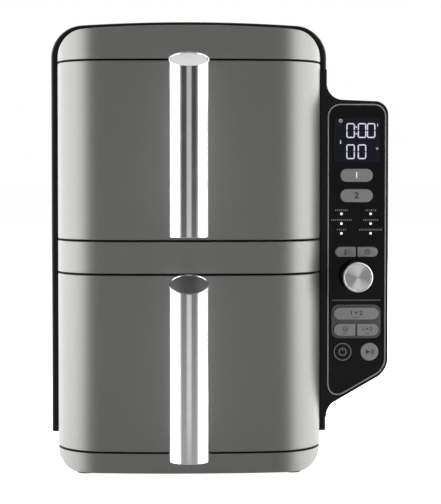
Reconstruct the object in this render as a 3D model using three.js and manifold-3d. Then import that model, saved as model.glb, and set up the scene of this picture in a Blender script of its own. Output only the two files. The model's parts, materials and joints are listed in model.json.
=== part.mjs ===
// A two-drawer air fryer: two frying drawers stacked one above the other in a tall narrow body, each
// with its own rear fan and heater, and a control panel on a wing at the right-hand side.
// Millimetres, +Z up, the drawers face -Y. The origin is the centre of the bounding box's underside.
import * as THREE from "three";
import { mergeVertices } from "three/addons/utils/BufferGeometryUtils.js";
import Module from "manifold-3d";

const wasm = await Module();
wasm.setup();

// ---------------------------------------------------------------- driving dimensions
// While building, x = 0 is the drawers' middle plane, y = 0 the frontmost line of the grey front and
// z = 0 the worktop. The finished group is then moved to the origin named above.
const HEIGHT = 385;
const DEPTH = 470;
const GAP = 0.3; // between pieces that touch on the real object
const WALL = 2.5; // moulded skins
const SHEET = 1.2; // sheet metal

const FRONT = { half: 112.4, bow: 820, corner: 42, back: 46, low: 4.5, top: 377.6 };
const SEAMS = { width: 1.4, header: 349.1, middleTop: 198.7, middleLow: 170.6, base: 21.7 };
const CROWN = 1435; // radius of the slightly arched top
const HEADER_CORNER = 25;
const BASE_CORNER = 20;

const SHELL = { half: 118.5, corner: 28, low: 32, front: 48, back: 391, wall: 3, lip: 9.5 };
const PAN = { half: 108, ledgeLow: 33, ledgeTop: 36, front: 57, back: 390.5 };
const FRAME = { front: 51.3, back: 54.3, half: 115.2, low: 37, footHalf: 104.9, footLow: 8 };
const REAR = { front: 391.3, plate: 3, hump: 399, humpHalf: 82, humpLow: 58, humpTop: 346 };

const HANDLE = { radius: 16.3, axisY: -49, length: 141.7, lowerRise: 2.7, upperRise: 4.8, slope: 0.42 };
const ARM = { half: 7.5, height: 12, inset: 17 };

const LINER = { half: 104, low: 4, height: 140, front: 54.6, back: 343.5 };
const BASKET = { half: 97, low: 12, height: 118, front: 54, back: 298, wall: 1.8, corner: 14, rim: 4 };
const PLATE = { half: 93, low: 26, thick: 2, front: 60, back: 292, corner: 12 };
const AXIS_UP = 74; // the fan's axis above the foot of its drawer front

const FACE = { front: 44.2, back: 46.1, pocket: 46.4 };
const WING = { right: 171.6, top: 317.7, bezelFront: 44, bezelBack: 48, depthOut: 66, depthIn: 104 };
const PANEL_X = 144.2;
const BOARD = { front: 57.6, back: 59.2 };
const DIAL = { x: 143.5, z: 166.3, radius: 13.4, capRadius: 12.8, tip: 26 };
const FOOT = { radius: 8, height: 4.2, x: 88, frontY: 32, rearY: 366 };

// ---------------------------------------------------------------- materials
const finish = (color, roughness, metalness = 0) =>
  new THREE.MeshStandardMaterial({ color, roughness, metalness });
const graphite = finish(0x62625f, 0.42, 0.55);
const black = finish(0x121212, 0.5);
const gloss = finish(0x050506, 0.12);
const chrome = finish(0xe8e8ea, 0.06, 1);
const satin = finish(0x9a9a9c, 0.35, 0.8);
const accent = finish(0x5c5c5e, 0.4);
const keyGrey = finish(0x55555a, 0.55);
const steel = finish(0xb8babd, 0.35, 0.9);
const nonstick = finish(0x202124, 0.5);
const rubber = finish(0x17171a, 0.85);
const board = finish(0x1d5a34, 0.6);
const smoked = finish(0x14151d, 0.08);

// ---------------------------------------------------------------- solids from three.js geometry
const WELD = 1e-3;

// One closed geometry as a manifold-3d solid, turned right side out.
function solid(geometry) {
  const loose = geometry.index ? geometry.toNonIndexed() : geometry;
  const bare = new THREE.BufferGeometry().setAttribute("position", loose.getAttribute("position"));
  const welded = mergeVertices(bare, WELD);
  const points = welded.attributes.position;
  const [a, b, c] = [new THREE.Vector3(), new THREE.Vector3(), new THREE.Vector3()];
  const triangles = [];
  let sixVolumes = 0;
  for (let i = 0; i < welded.index.count; i += 3) {
    const corners = [0, 1, 2].map((k) => welded.index.getX(i + k));
    if (new Set(corners).size < 3) continue;
    triangles.push(corners);
    [a, b, c].forEach((point, k) => point.fromBufferAttribute(points, corners[k]));
    sixVolumes += a.dot(b.cross(c));
  }
  if (sixVolumes < 0) triangles.forEach((corners) => corners.reverse());
  const triVerts = new Uint32Array(triangles.flat());
  return new wasm.Manifold(new wasm.Mesh({ numProp: 3, vertProperties: points.array, triVerts }));
}

// A solid as a named mesh.
function piece(name, made, material) {
  const { vertProperties, triVerts, numProp, numVert } = made.getMesh();
  const places = new Float32Array(numVert * 3);
  for (let i = 0; i < numVert; i++) places.set(vertProperties.subarray(i * numProp, i * numProp + 3), i * 3);
  const geometry = new THREE.BufferGeometry().setAttribute("position", new THREE.BufferAttribute(places, 3));
  geometry.setIndex(new THREE.BufferAttribute(triVerts, 1));
  geometry.computeVertexNormals();
  const mesh = new THREE.Mesh(geometry, material);
  mesh.name = name;
  return mesh;
}

// A block from its lowest corner to its highest.
function block(low, high) {
  const size = high.map((value, k) => value - low[k]);
  const middle = high.map((value, k) => (value + low[k]) / 2);
  return solid(new THREE.BoxGeometry(...size).translate(...middle));
}

// A round bar along the depth, and one that stands upright.
function barAlongY(x, z, radius, front, back, sides = 24) {
  const bar = new THREE.CylinderGeometry(radius, radius, back - front, sides);
  return solid(bar.translate(x, (front + back) / 2, z));
}

function barAlongZ(x, y, radius, low, high, sides = 24) {
  const bar = new THREE.CylinderGeometry(radius, radius, high - low, sides).rotateX(Math.PI / 2);
  return solid(bar.translate(x, y, (low + high) / 2));
}

// An outline drawn in plan (x, y), raised from low to high.
function upright(shape, low, high, curveSegments = 4) {
  const options = { depth: high - low, bevelEnabled: false, curveSegments };
  return solid(new THREE.ExtrudeGeometry(shape, options).translate(0, 0, low));
}

// An outline drawn in front view (x, z), running back from front to back.
function through(shape, front, back, curveSegments = 3) {
  const options = { depth: back - front, bevelEnabled: false, curveSegments };
  return solid(new THREE.ExtrudeGeometry(shape, options).rotateX(Math.PI / 2).translate(0, back, 0));
}

// A profile of [radius, y] points spun about the y axis, closed on itself.
function spun(profile, x, z, sides = 24) {
  const closed = [...profile, profile[0]].map(([radius, y]) => new THREE.Vector2(radius, y));
  return solid(new THREE.LatheGeometry(closed, sides).translate(x, 0, z));
}

const join = (...solids) => solids.reduce((whole, next) => whole.add(next));
const cut = (from, ...tools) => tools.reduce((whole, next) => whole.subtract(next), from);

// ---------------------------------------------------------------- outlines
// A polygon of [x, y, radius] corners, each rounded by its radius. inset moves the sides inwards;
// the corners run counter-clockwise.
function rounded(corners, inset = 0) {
  const points = corners.map(([x, y]) => new THREE.Vector2(x, y));
  const count = points.length;
  const sides = points.map((from, i) => points[(i + 1) % count].clone().sub(from).normalize());
  const moved = points.map((corner, i) => {
    const before = sides[(i + count - 1) % count];
    const after = sides[i];
    const turn = before.x * after.y - before.y * after.x;
    const along = (1 - before.dot(after)) / turn;
    return corner.clone().add(new THREE.Vector2(-before.y, before.x).multiplyScalar(inset))
      .sub(before.clone().multiplyScalar(inset * along));
  });
  const shape = new THREE.Shape();
  moved.forEach((corner, i) => {
    const before = sides[(i + count - 1) % count];
    const after = sides[i];
    const turn = before.x * after.y - before.y * after.x;
    const radius = corners[i][2] ? corners[i][2] - inset * Math.sign(turn) : 0;
    if (radius <= 0) {
      if (i) shape.lineTo(corner.x, corner.y);
      else shape.moveTo(corner.x, corner.y);
      return;
    }
    const angle = Math.atan2(Math.abs(turn), before.dot(after));
    const start = corner.clone().sub(before.clone().multiplyScalar(radius * Math.tan(angle / 2)));
    const inward = new THREE.Vector2(-before.y, before.x).multiplyScalar(radius * Math.sign(turn));
    const centre = start.clone().add(inward);
    const from = Math.atan2(start.y - centre.y, start.x - centre.x);
    shape.absarc(centre.x, centre.y, radius, from, from + angle * Math.sign(turn), turn < 0);
  });
  shape.closePath();
  return shape;
}

function box2(left, low, right, top, radius = 0) {
  return rounded([[left, low, radius], [right, low, radius], [right, top, radius], [left, top, radius]]);
}

const disc = (x, y, radius) => new THREE.Shape().absarc(x, y, radius, 0, 2 * Math.PI, false);

// The grey front in plan: a gentle bow between two rounded corners, then straight back.
function bowed(inset, back) {
  const { half, bow, corner } = FRONT;
  const lean = Math.asin((half - corner) / (bow - corner));
  const cornerX = half - corner;
  const cornerY = bow - (bow - corner) * Math.cos(lean);
  const down = -Math.PI / 2;
  const shape = new THREE.Shape();
  shape.absarc(-cornerX, cornerY, corner - inset, -Math.PI, down - lean, false);
  shape.absarc(0, bow, bow - inset, down - lean, down + lean, false);
  shape.absarc(cornerX, cornerY, corner - inset, down + lean, 0, false);
  shape.lineTo(half - inset, back);
  shape.lineTo(-(half - inset), back);
  shape.closePath();
  return shape;
}

// A front view with straight sides, round top corners and a slightly arched top.
function arched(half, top, corner, low) {
  const lean = Math.asin((half - corner) / (CROWN - corner));
  const cornerX = half - corner;
  const cornerZ = top - CROWN + (CROWN - corner) * Math.cos(lean);
  const up = Math.PI / 2;
  const shape = new THREE.Shape();
  shape.moveTo(-half, low);
  shape.lineTo(half, low);
  shape.absarc(cornerX, cornerZ, corner, 0, up - lean, false);
  shape.absarc(0, top - CROWN, CROWN, up - lean, up + lean, false);
  shape.absarc(-cornerX, cornerZ, corner, up + lean, Math.PI, false);
  shape.closePath();
  return shape;
}

// ---------------------------------------------------------------- body
const halfSeam = SEAMS.width / 2;

function frontBand(low, high, view, innerView) {
  const back = SHELL.front - GAP;
  const outer = upright(bowed(0, back), low, high).intersect(through(view, -1, back + 1));
  const inner = upright(bowed(WALL, back + 1), low + WALL, high - WALL);
  return cut(outer, inner.intersect(through(innerView, -1, back + 2)));
}

function headerTrim() {
  const low = SEAMS.header + halfSeam;
  const view = arched(FRONT.half, FRONT.top, HEADER_CORNER, low);
  const inside = arched(FRONT.half - WALL, FRONT.top - WALL, HEADER_CORNER - WALL, low);
  return frontBand(low, FRONT.top + 1, view, inside);
}

function middleTrim() {
  const low = SEAMS.middleLow + halfSeam;
  const high = SEAMS.middleTop - halfSeam;
  const view = box2(-FRONT.half - 1, low, FRONT.half + 1, high);
  return frontBand(low, high, view, view);
}

function baseView(inset) {
  const { half, low } = FRONT;
  const top = SEAMS.base;
  const foot = [[-half, low, BASE_CORNER], [half, low, BASE_CORNER]];
  return rounded([...foot, [half, top + 40, 0], [-half, top + 40, 0]], inset);
}

function footHoles(low, high) {
  const places = [-FOOT.x, FOOT.x].flatMap((x) => [FOOT.frontY, FOOT.rearY].map((y) => [x, y]));
  return places.map(([x, y]) => barAlongZ(x, y, FOOT.radius / 2, low, high, 8));
}

function baseTrim() {
  const band = frontBand(FRONT.low, SEAMS.base - halfSeam, baseView(0), baseView(WALL));
  return cut(band, ...footHoles(FRONT.low - 1, FRONT.low + WALL + 1));
}

// The black casing: two sides and the top, with a lip turned in round the front opening.
function outerShell() {
  const { half, corner, low, front, back, wall, lip } = SHELL;
  const outer = through(arched(half, HEIGHT, corner, low), front, back);
  const hollow = through(arched(half - wall, HEIGHT - wall, corner - wall, low - 1), front + wall, back + 1);
  const opening = arched(half - lip, HEIGHT - lip, corner - lip, low - 1);
  const mouth = through(opening, front - 1, front + wall + 1);
  const bore = new THREE.CylinderGeometry(5, 5, 8, 12).rotateZ(Math.PI / 2);
  const harnessHole = solid(bore.translate(half, 72, 110));
  return cut(outer, hollow, mouth, harnessHole);
}

function basePan() {
  const { half, ledgeLow, ledgeTop, front, back } = PAN;
  const foot = [[-half, FRONT.low, BASE_CORNER - 2], [half, FRONT.low, BASE_CORNER - 2]];
  const side = (inset, high) => rounded([...foot, [half, high, 0], [-half, high, 0]], inset);
  const outer = through(side(0, ledgeTop), front, back);
  const ledge = block([-FRAME.half, front, ledgeLow], [FRAME.half, back, ledgeTop]);
  const inner = through(side(WALL, ledgeTop + 20), front - 1, back - WALL);
  const slots = [-60, -36, -12, 12, 36, 60].map((x) =>
    block([x - 4, 120, 0], [x + 4, 280, FRONT.low + WALL + 1]));
  return cut(join(outer, ledge), inner, ...slots, ...footHoles(FRONT.low - 1, FRONT.low + WALL + 1));
}

// The inner frame that the casing, the grey trims and the two liners are screwed to.
function frontFrame() {
  const { front, back, half, low, footHalf, footLow } = FRAME;
  const top = HEIGHT - SHELL.wall - GAP;
  const upper = through(arched(half, top, SHELL.corner - SHELL.wall - GAP, low), front, back);
  const foot = [[-footHalf, footLow, 16], [footHalf, footLow, 16]];
  const apron = [...foot, [footHalf, low + 1, 0], [-footHalf, low + 1, 0]];
  const lower = through(rounded(apron), front, back);
  const windows = [lowerZ, upperZ].map((z) =>
    through(box2(-102, z + 7, 102, z + 141, 6), front - 1, back + 1, 2));
  return cut(join(upper, lower), ...windows);
}

function rearView(inset) {
  const upper = arched(SHELL.half - inset, HEIGHT - inset, SHELL.corner - inset, SHELL.low + inset);
  const foot = rounded([[-PAN.half, FRONT.low, BASE_CORNER - 2], [PAN.half, FRONT.low, BASE_CORNER - 2],
    [PAN.half, SHELL.low + 10, 0], [-PAN.half, SHELL.low + 10, 0]], inset);
  return [upper, foot];
}

const GLAND = { x: 76, z: 47 };

// The back of the body, with a raised hump over the motors, vent slots and two wall spacers.
function rearCover() {
  const { front, plate, hump, humpHalf, humpLow, humpTop } = REAR;
  const [upper, foot] = rearView(0);
  const skin = join(through(upper, front, front + plate), through(foot, front, front + plate));
  const raised = through(box2(-humpHalf, humpLow, humpHalf, humpTop, 18), front, hump, 4);
  const hollow = through(box2(-humpHalf + WALL, humpLow + WALL, humpHalf - WALL, humpTop - WALL, 15),
    front - 1, hump - WALL, 4);
  const spacers = [-58, 58].map((x) => block([x - 9, hump - 1, humpTop - 40], [x + 9, rearY, humpTop - 22]));
  const slots = [];
  for (const z of [lowerZ + AXIS_UP, upperZ + AXIS_UP])
    for (const row of [-2, -1, 0, 1, 2])
      slots.push(block([-56, hump - 4, z + row * 14 - 3], [56, hump + 1, z + row * 14 + 3]));
  const glandHole = barAlongY(GLAND.x, GLAND.z, 7.4, front - 1, front + plate + 1, 14);
  return cut(join(skin, raised, ...spacers), hollow, ...slots, glandHole);
}

function cordGland() {
  const { front, plate } = REAR;
  const outside = front + plate;
  const profile = [[4, front - 5], [9.5, front - 5], [9.5, front - GAP], [7, front - GAP],
    [7, outside + GAP], [9.5, outside + GAP], [9.5, outside + 2], [7, outside + 4], [4, outside + 4]];
  return spun(profile, GLAND.x, GLAND.z, 14);
}

function foot(x, y) {
  const pad = barAlongZ(x, y, FOOT.radius, 0, FOOT.height, 16);
  return join(pad, barAlongZ(x, y, FOOT.radius / 2 - 0.4, 1, FRONT.low + WALL + 1, 8));
}

// ---------------------------------------------------------------- heating, one set per drawer
// Sheet-metal liner: open at the front, with a flange to the frame and a ledge each side for the drawer.
function liner(z) {
  const { half, front, back } = LINER;
  const low = z + LINER.low;
  const high = low + LINER.height;
  const outer = block([-half, front, low], [half, back, high]);
  const flange = block([-half - 5, front, low], [half + 5, front + SHEET, high]);
  const inner = block([-half + SHEET, front - 1, low + SHEET], [half - SHEET, back - SHEET, high - SHEET]);
  const rimLow = z + BASKET.low + BASKET.height - BASKET.wall;
  const ledge = (side) => {
    const [left, right] = [half - 5.5, half - 1].map((x) => side * x).sort((a, b) => a - b);
    return block([left, front + 8, rimLow - 4.6], [right, BASKET.back, rimLow - 0.6]);
  };
  const axis = z + AXIS_UP;
  const shaftHole = barAlongY(0, axis, 5, back - 5, back + 1, 16);
  const leadHoles = heaterLeads(axis).map(({ x, z: height }) =>
    barAlongY(x, height, 4.2, back - 5, back + 1, 10));
  return cut(join(cut(join(outer, flange), inner), ledge(-1), ledge(1)), shaftHole, ...leadHoles);
}

const COIL = { outer: 58, inner: 46, y: 316, tube: 2.5, turns: 2, start: -1.3 };

function coilPoint(share, axis) {
  const radius = COIL.outer + (COIL.inner - COIL.outer) * share;
  const angle = COIL.start + share * COIL.turns * 2 * Math.PI;
  return new THREE.Vector3(radius * Math.cos(angle), COIL.y, axis + radius * Math.sin(angle));
}

function heaterLeads(axis) {
  return [coilPoint(0, axis), coilPoint(1, axis)];
}

// Tubular heater: two turns in front of the fan, with both ends led back through the liner.
function heater(z) {
  const axis = z + AXIS_UP;
  const [first, last] = heaterLeads(axis);
  const back = (point, y) => new THREE.Vector3(point.x, y, point.z);
  const steps = 26;
  const ring = Array.from({ length: steps - 1 }, (_, i) => coilPoint((i + 1) / steps, axis));
  const lead = (point) => [324, 338, 352].map((y) => back(point, y));
  const route = [...lead(first).reverse(), ...ring, ...lead(last)];
  const path = new THREE.CatmullRomCurve3(route, false, "centripetal");
  const section = new THREE.Shape();
  const sides = 6;
  for (let i = 0; i < sides; i++) {
    const angle = (i / sides) * 2 * Math.PI;
    const [x, y] = [COIL.tube * Math.cos(angle), COIL.tube * Math.sin(angle)];
    if (i) section.lineTo(x, y);
    else section.moveTo(x, y);
  }
  section.closePath();
  return solid(new THREE.ExtrudeGeometry(section, { extrudePath: path, steps: 44, bevelEnabled: false }));
}

function fanGuard(z) {
  const inside = LINER.half - SHEET - GAP;
  const low = z + LINER.low + SHEET + GAP;
  const high = z + LINER.low + LINER.height - SHEET - GAP;
  const sheet = block([-inside, 304, low], [inside, 305.5, high]);
  const slots = [-4, -3, -2, -1, 0, 1, 2, 3, 4].map((n) =>
    block([n * 19 - 4, 303, low + 22], [n * 19 + 4, 307, high - 22]));
  return cut(sheet, ...slots);
}

const SHAFT = 3;

function fanMotor(z) {
  const bore = SHAFT + 0.4;
  const can = [[38, 344], [38, 346.5], [30, 346.5], [30, 380], [12, 380], [12, 383]];
  const profile = [[bore, 344], ...can, [bore, 383]];
  const axis = z + AXIS_UP;
  const leads = heaterLeads(axis).map(({ x, z: height }) => barAlongY(x, height, 5.5, 340, 352, 10));
  return cut(spun(profile, 0, axis, 18), ...leads);
}

// Blades of a rotor whose hub lies on the y axis.
function blades(count, inner, outer, width, thick, pitch, y, axis) {
  return Array.from({ length: count }, (_, i) => {
    const blade = new THREE.BoxGeometry(outer - inner, thick, width);
    blade.rotateX(pitch).translate((outer + inner) / 2, y, 0).rotateY((i / count) * 2 * Math.PI);
    return solid(blade.translate(0, 0, axis));
  });
}

// The hot-air fan and the shaft that it shares with the cooling fan.
function hotFan(z) {
  const axis = z + AXIS_UP;
  const hub = barAlongY(0, axis, 9, 326, 336, 16);
  return join(hub, barAlongY(0, axis, SHAFT, 330, 393, 12), ...blades(6, 7, 38, 12, 1.4, 0.9, 331, axis));
}

function coolingFan(z) {
  const axis = z + AXIS_UP;
  const hub = spun([[SHAFT + GAP, 385], [10, 385], [10, 392], [SHAFT + GAP, 392]], 0, axis, 16);
  return join(hub, ...blades(7, 8.5, 34, 9, 1.4, 0.7, 388.5, axis));
}

function drawerSwitch(z) {
  const x = LINER.half + 0.4;
  const body = block([x, 300, z + 100], [x + 9, 322, z + 114]);
  return join(body, block([x + 1.5, 297, z + 104], [x + 4.5, 301, z + 110]));
}

// ---------------------------------------------------------------- drawers
// Each drawer is drawn from the foot of its front panel, z, and that panel's height.
const armZ = (z, height, end) => (end < 0 ? z + ARM.inset : z + height - ARM.inset);

function arm(z, height, end, grow, front, back) {
  const middle = armZ(z, height, end);
  return block([-ARM.half - grow, front, middle - ARM.height / 2 - grow],
    [ARM.half + grow, back, middle + ARM.height / 2 + grow]);
}

function fascia(z, height) {
  const outer = upright(bowed(0, FRONT.back), z, z + height);
  const inner = upright(bowed(WALL, FRONT.back + 1), z + WALL, z + height - WALL);
  return cut(outer, inner, ...[-1, 1].map((end) => arm(z, height, end, 0.4, -1, 5)));
}

// The black inner panel that closes the fascia's back and carries the basket.
function drawerCore(z, height) {
  const half = FRONT.half - WALL - 3 * GAP;
  const clear = WALL + GAP;
  const panel = block([-half, 40, z + clear], [half, FRONT.back, z + height - clear]);
  const boss = block([-94, 45, z + 18], [94, BASKET.front - GAP, z + 124]);
  return join(panel, boss);
}

function basket(z) {
  const { half, front, back, wall, corner, rim } = BASKET;
  const low = z + BASKET.low;
  const high = low + BASKET.height;
  const body = upright(box2(-half, front, half, back, corner), low, high, 2);
  const lip = upright(box2(-half - rim, front, half + rim, back + 2, corner), high - wall, high, 2);
  const room = box2(-half + wall, front + wall, half - wall, back - wall, corner - wall);
  const well = upright(room, low + 2, high + 1, 2);
  const slots = [-4, -3, -2, -1, 0, 1, 2, 3, 4].map((n) =>
    block([n * 17 - 3, back - 4, z + 52], [n * 17 + 3, back + 4, z + 112]));
  return cut(join(body, lip), well, ...slots);
}

function crisperPlate(z) {
  const { half, front, back, thick, corner } = PLATE;
  const low = z + PLATE.low;
  const sheet = upright(box2(-half, front, half, back, corner), low, low + thick, 2);
  const slots = [];
  for (const column of [-1, 0, 1])
    for (const row of [-2, -1, 0, 1, 2]) {
      const [x, y] = [column * 52, (front + back) / 2 + row * 42];
      slots.push(block([x - 18, y - 5, low - 1], [x + 18, y + 5, low + thick + 1]));
    }
  const legs = [-1, 1].flatMap((sx) => [front + 14, back - 14].map((y) =>
    block([sx * 80 - 3, y - 3, z + BASKET.low + 2 + GAP], [sx * 80 + 3, y + 3, low + 1])));
  return join(cut(sheet, ...slots), ...legs);
}

// The round bar handle. Its top is cut on a slope that falls towards the user.
function slopeCut(z, height, drop) {
  const { axisY, length, slope } = HANDLE;
  const top = handleLow(z) + length - drop;
  const wedge = new THREE.BoxGeometry(80, 80, 60).translate(0, 0, 30);
  return solid(wedge.rotateX(Math.atan(slope)).translate(0, axisY, top));
}

const handleLow = (z) => z + (z > SEAMS.middleTop ? HANDLE.upperRise : HANDLE.lowerRise);

function handleBar(z, height) {
  const { radius, axisY, length } = HANDLE;
  const low = handleLow(z);
  const bar = barAlongZ(0, axisY, radius, low, low + length + 20, 36);
  const recess = barAlongZ(0, axisY, radius - 1.2, low + length - 30, low + length + 30, 36);
  const bore = barAlongZ(0, axisY, radius - WALL, low + WALL, low + length + 30, 24);
  return cut(bar, slopeCut(z, height, 0), recess.intersect(slopeCut(z, height, 2)), bore);
}

function handleCap(z, height) {
  const { radius, axisY, length } = HANDLE;
  const top = handleLow(z) + length;
  const plug = barAlongZ(0, axisY, radius - 1.2 - GAP, top - 30, top + 30, 36);
  return cut(plug.intersect(slopeCut(z, height, 2 - GAP)), slopeCut(z, height, 0.4));
}

function handleBracket(z, height) {
  const { radius, axisY } = HANDLE;
  const arms = [-1, 1].map((end) => arm(z, height, end, 0, axisY, 4));
  const [low, high] = [-1, 1].map((end) => armZ(z, height, end) + end * 10);
  const plate = block([-12, WALL + 0.5, low], [12, WALL + 4, high]);
  const bar = barAlongZ(0, axisY, radius + GAP, z - 40, z + height + 40, 36);
  const front = block([-30, axisY - 30, z - 40], [30, axisY, z + height + 40]);
  return cut(join(...arms, plate), bar, front);
}

// ---------------------------------------------------------------- control panel
// The wing's outline in front view, from the foot of the strip beside the drawers.
const wingCorners = (left) => [[left, 44.5, 0], [118.5, 44.5, 0], [118.5, 53.4, 13], [WING.right, 84.1, 18],
  [WING.right, WING.top - 1.1, 11.6], [118.5, WING.top + 1, 14], [118.5, 344.2, 0], [left, 344.2, 0]];

// The outline of the accent line, which runs just inside the wing's edge.
const inlayCorners = [[119.3, 56.6, 10], [169.7, 85.6, 16], [169.7, 314.6, 10.4], [119.3, 314.6, 11]];

const inlay = (inset) => rounded(inlayCorners, inset);

function panelBezel() {
  const { bezelFront, bezelBack } = WING;
  const plate = through(rounded(wingCorners(113)), bezelFront, bezelBack - GAP);
  const pocket = through(inlay(-GAP), bezelFront - 1, FACE.pocket);
  const window = through(inlay(3), bezelFront - 1, bezelBack + 1);
  const bosses = [100, 200, 300].flatMap((z) => [121.2, 167.4].map((x) =>
    block([x - 1.3, bezelBack - 1, z - 3], [x + 1.3, BOARD.front - GAP, z + 3])));
  return join(cut(plate, pocket, window), ...bosses);
}

function panelAccent() {
  const outer = through(inlay(0), FACE.front - 0.4, FACE.back);
  return cut(outer, through(inlay(1), FACE.front - 2, FACE.back + 1));
}

// Each button: name, outline, centre. A half pill is round at its outer end only.
const pill = (x, z, width, height) => rounded(
  [[x - width / 2, z - height / 2, height / 2 - 0.01], [x + width / 2, z - height / 2, height / 2 - 0.01],
    [x + width / 2, z + height / 2, height / 2 - 0.01], [x - width / 2, z + height / 2, height / 2 - 0.01]]);

function halfPill(left, right, z, height, side) {
  const round = height / 2 - 0.01;
  const [onLeft, onRight] = side < 0 ? [round, 0.8] : [0.8, round];
  return (grow) => rounded([[left, z - height / 2, onLeft], [right, z - height / 2, onRight],
    [right, z + height / 2, onRight], [left, z + height / 2, onLeft]], -grow);
}

const wholePill = (x, z, width, height) => (grow) => pill(x, z, width + 2 * grow, height + 2 * grow);
const roundKey = (x, z, radius) => (grow) => pill(x, z, 2 * (radius + grow), 2 * (radius + grow));

const KEYS = [
  { name: "zone_1_button", x: PANEL_X, z: 253.2, outline: wholePill(PANEL_X, 253.2, 28, 11.2) },
  { name: "zone_2_button", x: PANEL_X, z: 235.7, outline: wholePill(PANEL_X, 235.7, 28, 11.2) },
  { name: "temperature_button", x: 134.5, z: 187.2, outline: halfPill(125.9, 143.6, 187.2, 8.7, -1) },
  { name: "time_button", x: 154, z: 187.2, outline: halfPill(145, 162.7, 187.2, 8.7, 1) },
  { name: "both_zones_button", x: PANEL_X, z: 133.9, outline: wholePill(PANEL_X, 133.9, 38.8, 10.6) },
  { name: "sync_button", x: 134, z: 119.9, outline: halfPill(124.8, 143.5, 119.9, 10.6, -1) },
  { name: "match_button", x: 154.4, z: 119.9, outline: halfPill(144.9, 163.6, 119.9, 10.6, 1) },
  { name: "power_button", x: 132.5, z: 100.8, outline: roundKey(132.5, 100.8, 7.75) },
  { name: "start_button", x: 155.7, z: 100.8, outline: roundKey(155.7, 100.8, 7.75) },
];
const KEY = { tip: 43.4, clearance: 0.35, flange: 0.7, flangeFront: 46.4, flangeBack: 47.4, stem: 55.8 };

function keyCap({ x, z, outline }) {
  const cap = through(outline(0), KEY.tip, KEY.flangeFront + 0.5, 2);
  const flange = through(outline(KEY.flange), KEY.flangeFront, KEY.flangeBack, 2);
  return join(cap, flange, barAlongY(x, z, 2, KEY.flangeBack - 0.5, KEY.stem, 6));
}

const DISPLAY = { left: 124.2, right: 164.2, low: 264.1, high: 303.3 };

function displayOpening(grow) {
  return box2(DISPLAY.left - grow, DISPLAY.low - grow, DISPLAY.right + grow, DISPLAY.high + grow, 2);
}

function panelFace() {
  const face = through(inlay(1 + GAP), FACE.front, FACE.back);
  const openings = KEYS.map(({ outline }) =>
    through(outline(KEY.clearance), FACE.front - 1, FACE.back + 1, 2));
  const dialHole = barAlongY(DIAL.x, DIAL.z, 4.5, FACE.front - 1, FACE.back + 1, 16);
  return cut(face, ...openings, dialHole, through(displayOpening(GAP), FACE.front - 1, FACE.back + 1, 1));
}

function displayModule() {
  const { left, right, low, high } = DISPLAY;
  return block([left + 0.5, FACE.back + GAP, low + 1], [right - 0.5, BOARD.front - GAP, high - 1]);
}

// Circuit board with its tactile switches and the dial's rotary encoder soldered on.
function controlBoard() {
  const outline = rounded([[119.7, 66, 1], [168.6, 94, 1], [168.6, 309, 1], [119.7, 309, 1]]);
  const sheet = through(outline, BOARD.front, BOARD.back, 1);
  const part = (x, z, reach, depth) =>
    block([x - reach, BOARD.front - depth, z - reach], [x + reach, BOARD.front + 0.2, z + reach]);
  const switches = KEYS.map(({ x, z }) => part(x, z, 3, 0.7));
  const encoder = part(DIAL.x, DIAL.z, 6.5, 5);
  const socket = barAlongY(DIAL.x, DIAL.z, SHAFT + 0.5, 40, BOARD.front - 1, 16);
  return cut(join(sheet, encoder, ...switches), socket);
}

const turned = (profile) =>
  solid(new THREE.LatheGeometry(profile.map(([radius, y]) => new THREE.Vector2(radius, y)), 26));

function dialKnob() {
  const { x, z, radius, tip } = DIAL;
  const [foot, end] = [FACE.front - 0.8, BOARD.front - 1.6];
  const profile = [[0, tip + 2], [radius - 0.5, tip + 2], [radius, tip + 2.6], [radius + 0.8, foot],
    [SHAFT, foot], [SHAFT, end], [0, end]];
  return turned(profile).translate(x, 0, z);
}

function dialCap() {
  const { x, z, capRadius, tip } = DIAL;
  const back = tip + 2 - GAP;
  const profile = [[0, tip], [capRadius - 0.8, tip], [capRadius, tip + 0.8], [capRadius, back], [0, back]];
  return turned(profile).translate(x, 0, z);
}

// The wing's rear cover: deep beside the casing and thinner towards its outer edge.
function wingBack() {
  const start = WING.bezelBack;
  const left = SHELL.half + GAP;
  const plan = (inset, from) => {
    const [near, far] = [left - (inset ? 1 : 0), WING.right - inset];
    const shallow = [far, WING.depthOut - inset, 12 - inset];
    return rounded([[near, from, 0], [far, from, 0], shallow, [near, WING.depthIn - inset, 0]]);
  };
  const view = (inset) => through(rounded(wingCorners(100), inset), start - 2, WING.depthIn + 2);
  const room = (inset, from) => upright(plan(inset, from), 55, WING.top + 2, 3).intersect(view(inset));
  const outer = cut(room(0, start), block([0, 0, WING.top + 0.5], [left + 200, 200, 400]));
  return cut(outer, room(WALL, start - 1));
}

// ---------------------------------------------------------------- electrics behind the liners
// The posts beside the vents are longer, because they stand on the inside of the rear hump.
function powerBoard() {
  const [front, back] = [387, 388.6];
  const sheet = block([52, front, 64], [106, back, 192]);
  const parts = [block([58, 364, 72], [84, front + 0.2, 100]), block([88, 370, 74], [102, front + 0.2, 92]),
    block([60, 368, 116], [76, front + 0.2, 132]), block([60, 368, 138], [76, front + 0.2, 154]),
    block([84, 374, 108], [88, front + 0.2, 160]), block([92, 378, 166], [104, front + 0.2, 182]),
    barAlongY(64, 176, 6, 366, front + 0.2, 12)];
  const end = (x) => (x < REAR.humpHalf ? REAR.hump - WALL : REAR.front) - GAP;
  const posts = [[60, 68], [102, 68], [60, 188], [102, 188]].map(([x, z]) =>
    block([x - 2, back - 0.2, z - 2], [x + 2, end(x), z + 2]));
  return join(sheet, ...parts, ...posts);
}

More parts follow.
